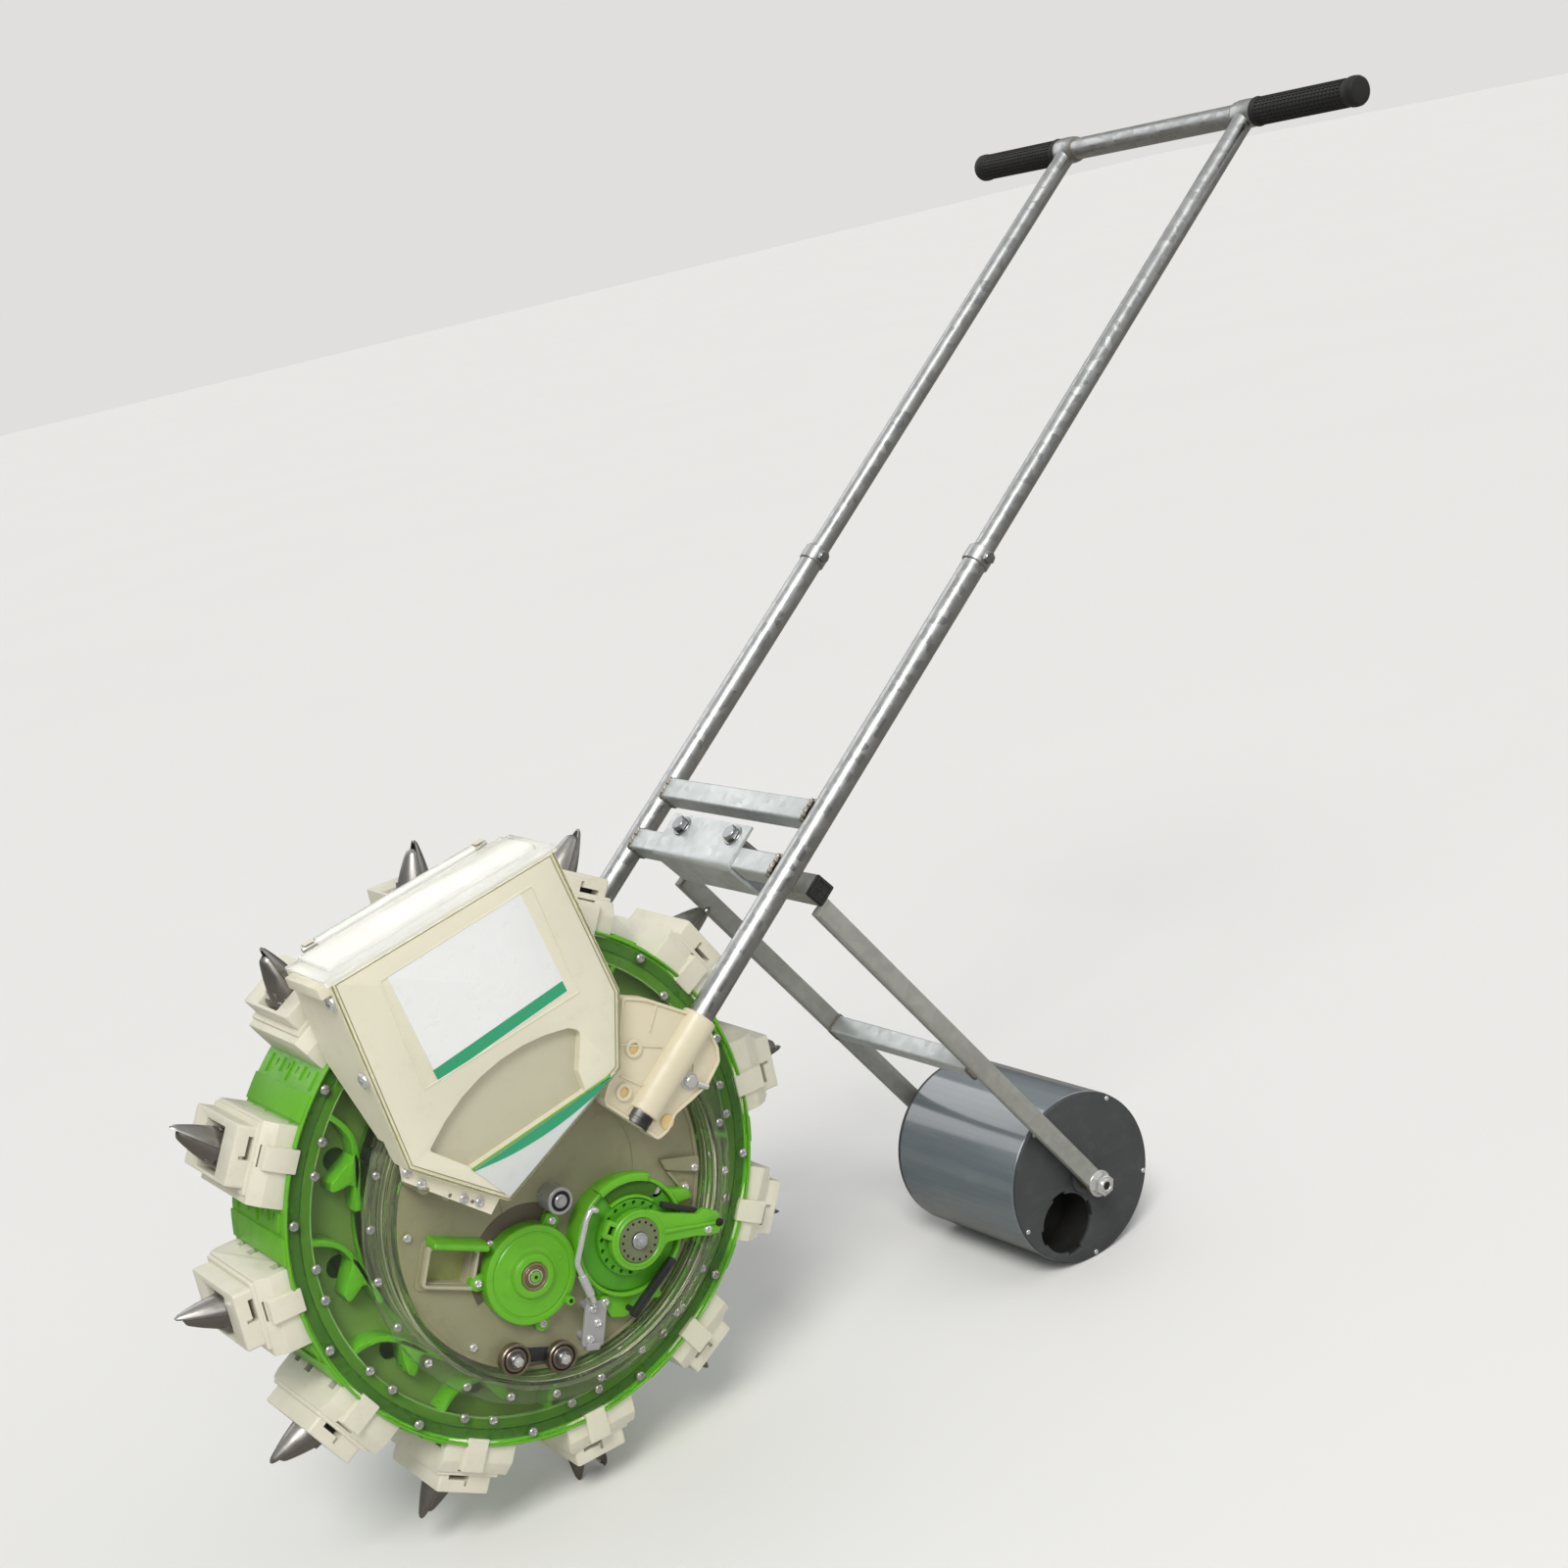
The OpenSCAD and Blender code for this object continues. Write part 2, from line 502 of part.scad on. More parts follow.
module seed_vanes() color([0.38, 0.80, 0.14]) place() {
    for (k = [0:beak_n - 1]) yext(-(hw - 0.2), wall_y - 3.2) rotate(step*k) {
        difference() {
            union() {
                polygon(band([pol(200, -9.6), pol(181, -9.4), pol(171, -9.2), pol(162.5, -7.6), pol(155, -3), pol(149.8, 2), pol(147.2, 8)], 5));
                polygon([pol(156, -3), pol(157.5, 2.6), pol(162, 4.8), pol(166, 6.6), pol(169.3, 9), pol(168, 10), pol(165, 9.2),
                    pol(160.5, 7.2), pol(154, 6.4), pol(148.6, 5.5), pol(150, 1.5)]);
            }
            difference() { circle(r = 260); circle(r = 182.8); }
        }
    }
}
module ring_gear() color([0.55, 0.56, 0.58]) place() {
    yext(gear_y0, gear_y1) difference() {
        circle(r = track_r - 0.02, $fn = 360);
        polygon(teeth(n_ring, rp_ring + 3.4, rp_ring - 2.1, 0.31, 0.12, ph_ring));
    }
}
// beak parts are drawn with the radius along x and the leading side at +z
// notch in the rim's front edge that takes the tab of a block
module tab_space(d) { translate([rim_r - 7 - d, -(hw + 3.5 + d), -5 - d]) cube([40, 9.5 + 2*d, 19 + 2*d]); }
pin_u = tip_r - 44; pin_v = 11;
// the beak leans back about its tip
module raked() { translate([tip_r, 0, 0]) rotate([0, rake, 0]) translate([-tip_r, 0, 0]) children(); }
// the lowest jaw is drawn pressed open by the floor
floor_open = 34;
module duckbill_blocks() color([0.93, 0.90, 0.80]) place() {
    for (k = [0:beak_n - 1]) at_beak(k) difference() {
        union() {
            difference() {
                translate([rim_r - 8, -49.6, -22]) cube([tip_r - 54 - rim_r + 8, 97, 64]);
                ycyl([0, 0], rim_r + 0.05, -60, 60);
            }
            translate([tip_r - 55, -41, -16]) cube([20, 83, 49]);
            translate([rim_r - 7, -(hw + 3.5), -5]) cube([29, 9.5, 19]);
        }
        translate([rim_r - 20, -18, -9]) cube([100, 36, 37.4]);
        raked() ycyl([pin_u, pin_v], 2.52, -31, 31);
    }
}
// cone of the beak
module beak_cone() { translate([tip_r - 40, 0, 0]) rotate([0, 90, 0]) cylinder(r1 = 15.2, r2 = 2.4, h = 40); }
module half_beak() {
    difference() {
        beak_cone();
        translate([-5, 0, 0]) beak_cone();
        translate([tip_r - 100, -50, -0.2]) cube([200, 100, 50]);
    }
}
module fixed_beaks() color([0.60, 0.61, 0.62]) place() {
    for (k = [0:beak_n - 1]) at_beak(k) raked() {
        half_beak();
        translate([tip_r - 50, -8, -14.2]) cube([17, 16, 1.6]);
        ycyl([pin_u, pin_v], 2.5, -30.8, 30.8);
    }
}
module jaw(k, turn = 0) {
    place() at_beak(k) raked() translate([pin_u, 0, pin_v]) rotate([0, -turn, 0]) translate([-pin_u, 0, -pin_v]) {
        difference() {
            union() {
                difference() {
                    translate([-0.8, 0, 0]) mirror([0, 0, 1]) half_beak();
                    translate([tip_r - 6.5, -20, -20]) cube([20, 40, 40]);
                }
                translate([pin_u, -8, 10.4]) cube([tip_r - 33 - pin_u, 16, 2.2]);
                ycyl([pin_u, pin_v], 4.4, -15, 15);
            }
            ycyl([pin_u, pin_v], 2.56, -40, 40);
        }
    }
}
module jaw_01() color([0.58, 0.59, 0.60]) jaw(0, floor_open);
module jaw_02() color([0.58, 0.59, 0.60]) jaw(1);
module jaw_03() color([0.58, 0.59, 0.60]) jaw(2);
module jaw_04() color([0.58, 0.59, 0.60]) jaw(3);
module jaw_05() color([0.58, 0.59, 0.60]) jaw(4);
module jaw_06() color([0.58, 0.59, 0.60]) jaw(5);
module jaw_07() color([0.58, 0.59, 0.60]) jaw(6);
module jaw_08() color([0.58, 0.59, 0.60]) jaw(7);
module jaw_09() color([0.58, 0.59, 0.60]) jaw(8);
module jaw_10() color([0.58, 0.59, 0.60]) jaw(9);
module jaw_11() color([0.58, 0.59, 0.60]) jaw(10);
module jaw_12() color([0.58, 0.59, 0.60]) jaw(11);
module drum_screws() color([0.80, 0.80, 0.80]) place() {
    for (s = cover_scr) pan_screw(pol(s[0], s[1]), -(hw + 3));
    for (s = ring_scr) { ycyl(pol(s[0], s[1]), 3.2, -94, -92); ycyl(pol(s[0], s[1]), 1.5, -92.5, -89); }
}

front_plate();
rear_plate();
tie_rod();
stay_posts();
hopper_tub();
hopper_panel();
hopper_lid();
lid_pin();
gear_cover();
idler_gear();
metering_housing();
metering_wheel();
metering_gear();
metering_arm();
bearings();
brush_bar();
brush_rod();
clamp_plate();
window_frame();
window_hood();
roller_studs();
roller_fl();
roller_fr();
roller_rl();
roller_rr();
sockets();
lower_tubes();
tube_clamps();
upper_tubes();
handlebar();
grips();
crossbars();
clamp_bracket();
bracket_bolts();
press_frame();
end_plugs();
press_axle();
press_roller();
press_caps();
drum_rim();
drum_cover();
cover_collar();
seed_vanes();
ring_gear();
duckbill_blocks();
fixed_beaks();
jaw_01();
jaw_02();
jaw_03();
jaw_04();
jaw_05();
jaw_06();
jaw_07();
jaw_08();
jaw_09();
jaw_10();
jaw_11();
jaw_12();
plate_screws();
drum_screws();
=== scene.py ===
import bpy
import bmesh
import math
from mathutils import Matrix, Vector
from mathutils.geometry import tessellate_polygon


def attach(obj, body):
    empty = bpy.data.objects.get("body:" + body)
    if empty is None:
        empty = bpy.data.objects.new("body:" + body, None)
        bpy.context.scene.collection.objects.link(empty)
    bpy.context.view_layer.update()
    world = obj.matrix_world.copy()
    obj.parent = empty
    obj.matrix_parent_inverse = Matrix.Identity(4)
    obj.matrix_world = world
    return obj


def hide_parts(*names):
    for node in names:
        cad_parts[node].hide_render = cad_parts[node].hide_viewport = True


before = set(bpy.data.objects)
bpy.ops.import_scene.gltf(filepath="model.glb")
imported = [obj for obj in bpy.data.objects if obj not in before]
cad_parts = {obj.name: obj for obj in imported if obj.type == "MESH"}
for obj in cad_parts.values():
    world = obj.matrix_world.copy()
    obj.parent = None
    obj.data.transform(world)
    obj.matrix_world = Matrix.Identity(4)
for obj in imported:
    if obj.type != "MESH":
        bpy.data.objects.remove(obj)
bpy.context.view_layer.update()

# Shapes are drawn in millimetres about the drum's centre and moved to the row frame at the end.
X_MID, GROUND = 311.406, 287.0
TH = math.radians(37.6)
TUBE_Y = 116.6
MC = (52.006, -54.045)      # metering shaft
IC = (-36.38, -49.57)       # idler shaft
WIN = (-97.0, -18.0)        # window
PRESS = (520.0, -207.0)     # press roller axle
HOP = [(-149, 245), (48, 279), (75, 155), (60, 96), (-57, 34), (-128, 90)]
TILT = math.atan2(34, 197)
HOP_LEN = math.hypot(197, 34)


# ------------------------------------------------------------------ plane helpers
def pol(r, a, c=(0.0, 0.0)):
    a = math.radians(a)
    return (c[0] + r * math.cos(a), c[1] + r * math.sin(a))


def off(c, d):
    return (c[0] + d[0], c[1] + d[1])


def along(s, n=0.0):
    return (76 + s * math.cos(TH) - n * math.sin(TH), 45 + s * math.sin(TH) + n * math.cos(TH))


def circle(c, r, n=32):
    return [pol(r, 360 * i / n, c) for i in range(n)]


def sector(c, r0, r1, a0, a1, n=16):
    return [pol(r1, a0 + (a1 - a0) * i / n, c) for i in range(n + 1)] + [pol(r0, a1 + (a0 - a1) * i / n, c) for i in range(n + 1)]


def rect(c, w, h, a=0.0):
    ca, sa = math.cos(math.radians(a)), math.sin(math.radians(a))
    return [(c[0] + x * ca - z * sa, c[1] + x * sa + z * ca) for x, z in ((-w / 2, -h / 2), (w / 2, -h / 2), (w / 2, h / 2), (-w / 2, h / 2))]


def ccw(P):
    s = sum(P[i - 1][0] * P[i][1] - P[i][0] * P[i - 1][1] for i in range(len(P)))
    return list(P) if s > 0 else list(reversed(P))


def offset(P, d):
    """Moves a counter-clockwise outline outwards by d."""
    out = []
    n = len(P)
    for i in range(n):
        a, b, c = Vector(P[i - 1]), Vector(P[i]), Vector(P[(i + 1) % n])
        u, v = b - a, c - b
        if u.length < 1e-9 or v.length < 1e-9:
            out.append(tuple(b))
            continue
        u.normalize()
        v.normalize()
        m, k = Vector((u.y, -u.x)), Vector((v.y, -v.x))
        out.append(tuple(b + (m + k) * (d / max(0.35, 1 + m.dot(k)))))
    return out


def fillet(P, r, n=4):
    out = []
    m = len(P)
    for i in range(m):
        rr = r[i] if isinstance(r, (list, tuple)) else r
        a, b, c = Vector(P[i - 1]), Vector(P[i]), Vector(P[(i + 1) % m])
        if rr <= 0:
            out.append(tuple(b))
            continue
        u, v = a - b, c - b
        lu, lv = u.length, v.length
        u.normalize()
        v.normalize()
        half = math.acos(max(-0.999, min(0.999, u.dot(v)))) / 2
        t = min(rr / math.tan(half), lu * 0.48, lv * 0.48)
        p, q = b + u * t, b + v * t
        for k in range(n + 1):
            s = k / n
            out.append(tuple((1 - s) ** 2 * p + 2 * s * (1 - s) * b + s * s * q))
    return out


def curve(P, n=6):
    """A smooth open line through the points."""
    P = [Vector(p) for p in P]
    Q = [P[0] * 2 - P[1]] + P + [P[-1] * 2 - P[-2]]
    out = []
    for i in range(1, len(Q) - 2):
        for k in range(n):
            t = k / n
            a, b, c, d = Q[i - 1], Q[i], Q[i + 1], Q[i + 2]
            out.append(tuple(0.5 * (2 * b + (c - a) * t + (2 * a - 5 * b + 4 * c - d) * t * t + (3 * b - a - 3 * c + d) * t ** 3)))
    out.append(tuple(P[-1]))
    return out


def band(P, w):
    """A strip of width w along an open line; w may change along it."""
    L, R = [], []
    n = len(P)
    for i in range(n):
        u = Vector(P[min(i + 1, n - 1)]) - Vector(P[max(i - 1, 0)])
        u.normalize()
        h = (w[i] if isinstance(w, (list, tuple)) else w) / 2
        L.append((P[i][0] - u.y * h, P[i][1] + u.x * h))
        R.append((P[i][0] + u.y * h, P[i][1] - u.x * h))
    return L + R[::-1]


# ------------------------------------------------------------------ solids: (points, faces)
def clean(V, F):
    bm = bmesh.new()
    vs = [bm.verts.new(v) for v in V]
    for f in F:
        if len(set(f)) > 2:
            try:
                bm.faces.new([vs[i] for i in f])
            except ValueError:
                pass
    bmesh.ops.recalc_face_normals(bm, faces=bm.faces)
    bm.verts.index_update()
    out = ([v.co.copy() for v in bm.verts], [[v.index for v in f.verts] for f in bm.faces])
    bm.free()
    return out


def xf(m, M):
    F = m[1] if M.to_3x3().determinant() > 0 else [f[::-1] for f in m[1]]
    return ([M @ Vector(v) for v in m[0]], F)


def join(*ms):
    V, F = [], []
    for m in ms:
        o = len(V)
        V = V + list(m[0])
        F = F + [[i + o for i in f] for f in m[1]]
    return (V, F)


def lathe(prof, c=(0.0, 0.0), seg=64, loop=True):
    """Turned about y through c. A closed profile, or one whose two ends lie on the axis."""
    V, F, rings = [], [], []
    for r, y in prof:
        if r < 1e-6:
            rings.append([len(V)])
            V.append((c[0], y, c[1]))
        else:
            rings.append(list(range(len(V), len(V) + seg)))
            V += [(c[0] + r * math.cos(2 * math.pi * i / seg), y, c[1] + r * math.sin(2 * math.pi * i / seg)) for i in range(seg)]
    n = len(rings)
    for i in range(n if loop else n - 1):
        A, B = rings[i], rings[(i + 1) % n]
        if len(A) == 1 and len(B) == 1:
            continue
        for j in range(seg):
            k = (j + 1) % seg
            if len(A) == 1:
                F.append((A[0], B[j], B[k]))
            elif len(B) == 1:
                F.append((A[j], B[0], A[k]))
            else:
                F.append((A[j], B[j], B[k], A[k]))
    return clean(V, F)


def disc(c, r, y0, y1, bev=0.5, seg=32):
    """A short round solid, edge broken on the y0 side."""
    s = 1 if y1 > y0 else -1
    return lathe([(0, y0), (r - bev, y0), (r - bev * 0.3, y0 + s * bev * 0.3), (r, y0 + s * bev), (r, y1), (0, y1)], c, seg, False)


def ring(c, ro, ri, y0, y1, bev=0.4, seg=48):
    return lathe([(ri, y1), (ri, y0 + bev), (ri + bev, y0), (ro - bev, y0), (ro, y0 + bev), (ro, y1)], c, seg)


def prism(P, y0, y1, bev=0.0, holes=(), steps=2):
    P = ccw(P)
    H = [ccw(h) for h in holes]
    levels = [(y0, 0.0), (y1, 0.0)]
    if bev > 0:
        lo, hi = [], []
        for k in range(steps + 1):
            t = math.pi / 2 * k / steps
            lo.append((y0 + bev * (1 - math.cos(t)), -bev * (1 - math.sin(t))))
            hi.append((y1 - bev * (1 - math.cos(t)), -bev * (1 - math.sin(t))))
        levels = lo + hi[::-1]
    V, F, rows = [], [], []
    for y, d in levels:
        row = []
        for j, L in enumerate([P] + H):
            Q = offset(L, d if j == 0 else -d) if d else L
            row.append(list(range(len(V), len(V) + len(Q))))
            V += [(q[0], y, q[1]) for q in Q]
        rows.append(row)
    for A, B in zip(rows, rows[1:]):
        for la, lb in zip(A, B):
            n = len(la)
            for i in range(n):
                j = (i + 1) % n
                F.append((la[i], lb[i], lb[j], la[j]))
    for row in (rows[0], rows[-1]):
        flat = [i for L in row for i in L]
        for t in tessellate_polygon([[Vector((V[i][0], V[i][2], 0)) for i in L] for L in row]):
            F.append(tuple(flat[i] for i in t))
    return clean(V, F)


def block(lo, hi, bev=0.8):
    """A box between two corners (x, y, z) with every edge rounded."""
    P = [(lo[0], lo[2]), (hi[0], lo[2]), (hi[0], hi[2]), (lo[0], hi[2])]
    return prism(fillet(P, bev, 3) if bev > 0 else P, lo[1], hi[1], bev)


def pipe(pts, r, seg=20, rin=0.0):
    """A round bar along a line of points, or a tube with open ends."""
    pts = [Vector(p) for p in pts]
    n = len(pts)
    rs = r if isinstance(r, (list, tuple)) else [r] * n
    T = [(pts[min(i + 1, n - 1)] - pts[max(i - 1, 0)]).normalized() for i in range(n)]
    N = T[0].orthogonal().normalized()
    V, F, rings = [], [], []

    def add(i, rad, N):
        B = T[i].cross(N)
        rings.append(list(range(len(V), len(V) + seg)))
        for k in range(seg):
            a = 2 * math.pi * k / seg
            V.append(pts[i] + (N * math.cos(a) + B * math.sin(a)) * rad)
    Ns = []
    for i in range(n):
        N = (N - T[i] * N.dot(T[i])).normalized()
        Ns.append(N.copy())
        add(i, rs[i], N)
    if rin:
        for i in range(n - 1, -1, -1):
            add(i, rin, Ns[i])
    m = len(rings)
    for i in range(m if rin else m - 1):
        A, B = rings[i], rings[(i + 1) % m]
        for j in range(seg):
            k = (j + 1) % seg
            F.append((A[j], B[j], B[k], A[k]))
    if not rin:
        F.append(tuple(rings[0]))
        F.append(tuple(rings[-1]))
    return clean(V, F)


def rounded(pts, r, n=5):
    """Rounds the inner corners of a line in space."""
    P = [Vector(p) for p in pts]
    out = [P[0]]
    for a, b, c in zip(P, P[1:], P[2:]):
        u, v = (a - b), (c - b)
        t = min(r, u.length * 0.48, v.length * 0.48)
        p, q = b + u.normalized() * t, b + v.normalized() * t
        out += [(1 - k / n) ** 2 * p + 2 * (k / n) * (1 - k / n) * b + (k / n) ** 2 * q for k in range(n + 1)]
    return out + [P[-1]]


def scratch(m):
    me = bpy.data.meshes.new("scratch")
    me.from_pydata([tuple(v) for v in m[0]], [], m[1])
    ob = bpy.data.objects.new("scratch", me)
    bpy.context.scene.collection.objects.link(ob)
    return ob


def boolean(a, b, op="DIFFERENCE"):
    A, B = scratch(a), scratch(b)
    mod = A.modifiers.new("cut", "BOOLEAN")
    mod.operation = op
    mod.solver = "EXACT"
    mod.object = B
    dg = bpy.context.evaluated_depsgraph_get()
    me = bpy.data.meshes.new_from_object(A.evaluated_get(dg))
    out = ([v.co.copy() for v in me.vertices], [list(p.vertices) for p in me.polygons])
    for o in (A, B):
        d = o.data
        bpy.data.objects.remove(o)
        bpy.data.meshes.remove(d)
    bpy.data.meshes.remove(me)
    return out


def turn(deg, c=(0.0, 0.0)):
    """Turns counter-clockwise seen from the front, in x and z, about c."""
    return Matrix.Translation((c[0], 0, c[1])) @ Matrix.Rotation(-math.radians(deg), 4, "Y") @ Matrix.Translation((-c[0], 0, -c[1]))


def shift(x=0, y=0, z=0):
    return Matrix.Translation((x, y, z))


MIRROR = Matrix.Scale(-1, 4, (0, 1, 0))
ON_TUBE = Matrix.Translation((76, 0, 45)) @ Matrix.Rotation(-TH, 4, "Y")
# outline (a, b) and depth d of a prism become (v, y) and u of a beak
FROM_UP = Matrix(((0, 1, 0, 0), (0, 0, 1, 0), (1, 0, 0, 0), (0, 0, 0, 1)))
# outline (a, b) and depth d become (u, y) and v
FROM_SIDE = Matrix(((1, 0, 0, 0), (0, 0, 1, 0), (0, 1, 0, 0), (0, 0, 0, 1)))


def beak_at(k):
    return Matrix.Rotation(-math.radians(-90 + 30 * k), 4, "Y")


class Part:
    def __init__(self):
        self.V, self.F, self.M = [], [], []

    def add(self, m, mat=0, M=None):
        if M is not None:
            m = xf(m, M)
        o = len(self.V)
        self.V += list(m[0])
        self.F += [[i + o for i in f] for f in m[1]]
        self.M += [mat] * len(m[1])
        return self

    def both(self, m, mat=0, M=None):
        if M is not None:
            m = xf(m, M)
        self.add(m, mat)
        return self.add(m, mat, MIRROR)

    def build(self, name, body, mats, nodes=(), slot=None, sharp=30):
        me = bpy.data.meshes.new(name)
        me.from_pydata([((v[0] - X_MID) / 1000, v[1] / 1000, (v[2] + GROUND) / 1000) for v in self.V], [], self.F)
        for mt in mats:
            me.materials.append(mt)
        me.polygons.foreach_set("material_index", self.M)
        me.polygons.foreach_set("use_smooth", [True] * len(me.polygons))
        me.set_sharp_from_angle(angle=math.radians(sharp))
        me.update()
        ob = bpy.data.objects.new(name, me)
        bpy.context.scene.collection.objects.link(ob)
        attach(ob, body)
        if nodes:
            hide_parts(*nodes)
        return ob


# ------------------------------------------------------------------ materials
class Nodes:
    def __init__(self, name):
        self.mat = bpy.data.materials.new(name)
        self.mat.use_nodes = True
        self.t = self.mat.node_tree
        self.t.nodes.clear()
        self.out = self.t.nodes.new("ShaderNodeOutputMaterial")
        self.pos = self.t.nodes.new("ShaderNodeTexCoord").outputs["Object"]

    def new(self, kind, **values):
        n = self.t.nodes.new(kind)
        for k, v in values.items():
            setattr(n, k, v)
        return n

    def link(self, a, b):
        self.t.links.new(a, b)

    def noise(self, scale, detail=3.0, rough=0.55, stretch=None, distort=0.0):
        n = self.new("ShaderNodeTexNoise")
        n.inputs["Scale"].default_value = scale
        n.inputs["Detail"].default_value = detail
        n.inputs["Roughness"].default_value = rough
        n.inputs["Distortion"].default_value = distort
        src = self.pos
        if stretch:
            m = self.new("ShaderNodeMapping")
            m.inputs["Scale"].default_value = stretch[0]
            m.inputs["Rotation"].default_value = stretch[1]
            self.link(self.pos, m.inputs["Vector"])
            src = m.outputs["Vector"]
        self.link(src, n.inputs["Vector"])
        return n.outputs["Fac"]

    def ramp(self, fac, a, b, lo=0.0, hi=1.0):
        m = self.new("ShaderNodeMapRange")
        m.inputs["From Min"].default_value = a
        m.inputs["From Max"].default_value = b
        m.inputs["To Min"].default_value = lo
        m.inputs["To Max"].default_value = hi
        self.link(fac, m.inputs["Value"])
        return m.outputs["Result"]

    def mix(self, fac, a, b):
        m = self.new("ShaderNodeMix", data_type="RGBA")
        self.link(fac, m.inputs["Factor"])
        for i, v in ((6, a), (7, b)):
            if isinstance(v, tuple):
                m.inputs[i].default_value = (*v, 1.0)
            else:
                self.link(v, m.inputs[i])
        return m.outputs[2]

    def bump(self, height, strength, dist, normal=None):
        b = self.new("ShaderNodeBump")
        b.inputs["Strength"].default_value = strength
        b.inputs["Distance"].default_value = dist
        self.link(height, b.inputs["Height"])
        if normal is not None:
            self.link(normal, b.inputs["Normal"])
        return b.outputs["Normal"]


def shade(col, k):
    return tuple(min(1.0, c * k) for c in col)


def plastic(name, col, rough=0.4, var=0.10, dirt=(0.16, 0.13, 0.08), dirty=0.18, grain=1400.0, gs=0.10, coat=0.0, spec=0.5, sub=0.0):
    g = Nodes(name)
    p = g.new("ShaderNodeBsdfPrincipled")
    big = g.noise(9.0, 4.0)
    mid = g.noise(70.0, 6.0, 0.65)
    fine = g.noise(grain, 2.0)
    c = g.mix(g.ramp(big, 0.3, 0.7), shade(col, 1 - var), shade(col, 1 + var * 0.6))
    c = g.mix(g.ramp(mid, 0.52, 0.82, 0.0, dirty), c, dirt)
    g.link(c, p.inputs["Base Color"])
    g.link(g.ramp(mid, 0.3, 0.75, rough - 0.07, rough + 0.12), p.inputs["Roughness"])
    p.inputs["Specular IOR Level"].default_value = spec
    p.inputs["Coat Weight"].default_value = coat
    p.inputs["Coat Roughness"].default_value = 0.12
    g.link(g.bump(mid, 0.06, 0.0008, g.bump(fine, gs, 0.0003)), p.inputs["Normal"])
    g.link(p.outputs[0], g.out.inputs["Surface"])
    return g.mat


def metal(name, col, rough=0.35, var=0.12, brush=None, stain=(0.22, 0.16, 0.10), stained=0.12, spangle=False, bare=1.0):
    g = Nodes(name)
    p = g.new("ShaderNodeBsdfPrincipled")
    p.inputs["Metallic"].default_value = bare
    big = g.noise(16.0, 5.0, 0.6)
    mid = g.noise(120.0, 6.0, 0.65)
    c = g.mix(g.ramp(big, 0.3, 0.7), shade(col, 1 - var), shade(col, 1 + var * 0.5))
    rg = g.ramp(mid, 0.3, 0.7, rough - 0.08, rough + 0.12)
    fine = g.noise(900.0, 3.0, 0.6, brush)
    if spangle:
        v = g.new("ShaderNodeTexVoronoi")
        v.inputs["Scale"].default_value = 140.0
        g.link(g.pos, v.inputs["Vector"])
        s = g.new("ShaderNodeSeparateColor")
        g.link(v.outputs["Color"], s.inputs["Color"])
        c = g.mix(g.ramp(s.outputs[0], 0.0, 1.0, 0.0, 0.45), c, shade(col, 0.72))
        rg = g.ramp(s.outputs[1], 0.0, 1.0, rough - 0.08, rough + 0.14)
    c = g.mix(g.ramp(mid, 0.55, 0.85, 0.0, stained), c, stain)
    g.link(c, p.inputs["Base Color"])
    g.link(rg, p.inputs["Roughness"])
    g.link(g.bump(fine, 0.08, 0.0003, g.bump(mid, 0.05, 0.0006)), p.inputs["Normal"])
    g.link(p.outputs[0], g.out.inputs["Surface"])
    return g.mat


def clear(name, col, haze, rough=0.05, ior=1.25):
    """Clear moulded plastic: a glossy see-through shell with a slight haze that lets light through."""
    g = Nodes(name)
    p = g.new("ShaderNodeBsdfPrincipled")
    mid = g.noise(40.0, 6.0, 0.6)
    big = g.noise(14.0, 3.0)
    g.link(g.mix(g.ramp(big, 0.3, 0.7), shade(col, 0.95), col), p.inputs["Base Color"])
    g.link(g.ramp(mid, 0.35, 0.75, rough, rough + 0.10), p.inputs["Roughness"])
    g.link(g.bump(big, 0.06, 0.002), p.inputs["Normal"])
    p.inputs["IOR"].default_value = ior
    p.inputs["Transmission Weight"].default_value = 1.0 - haze
    t = g.new("ShaderNodeBsdfTransparent")
    t.inputs["Color"].default_value = (*shade(col, 0.97), 1)
    lp = g.new("ShaderNodeLightPath")
    m = g.new("ShaderNodeMixShader")
    g.link(lp.outputs["Is Shadow Ray"], m.inputs[0])
    g.link(p.outputs[0], m.inputs[1])
    g.link(t.outputs[0], m.inputs[2])
    g.link(m.outputs[0], g.out.inputs["Surface"])
    return g.mat


CREAM = plastic("cream", (0.73, 0.695, 0.545), 0.40, 0.05, (0.50, 0.42, 0.26), 0.22)
SOCKET = plastic("socket_cream", (0.65, 0.59, 0.43), 0.40, 0.05, (0.50, 0.40, 0.24), 0.22)
SEAM_SHADE = plastic("seam_shade", (0.27, 0.245, 0.175), 0.5, 0.15)
# Window frame: the same darker cream as the plates, painted shade.
SURROUND_SHADED_CREAM = plastic("window_painted_shade_beige", (0.42, 0.395, 0.275), 0.42, 0.08, (0.20, 0.16, 0.10), 0.3)
IVORY = plastic("ivory_blocks", (0.69, 0.665, 0.545), 0.42, 0.05, (0.42, 0.36, 0.24), 0.25)
# Darker cream for the hopper's recess floor: painted shade in the recess.
RECESS_SHADED_CREAM = plastic("cream_recess_painted_shade", (0.51, 0.485, 0.355), 0.46, 0.06, (0.40, 0.33, 0.20), 0.25)
YELLOWED = plastic("yellowed_cream", (0.68, 0.50, 0.21), 0.45, 0.08)
GREEN = plastic("leaf_green", (0.125, 0.425, 0.018), 0.33, 0.08, (0.05, 0.16, 0.02), 0.35)
BAND = plastic("band_green", (0.042, 0.135, 0.007), 0.30, 0.12, (0.02, 0.07, 0.01), 0.35)
MIDBAND = plastic("band_mid_green", (0.072, 0.195, 0.010), 0.32, 0.10, (0.03, 0.10, 0.01), 0.35)
WALL = plastic("wall_green", (0.155, 0.250, 0.056), 0.55, 0.12, (0.08, 0.12, 0.03), 0.35)
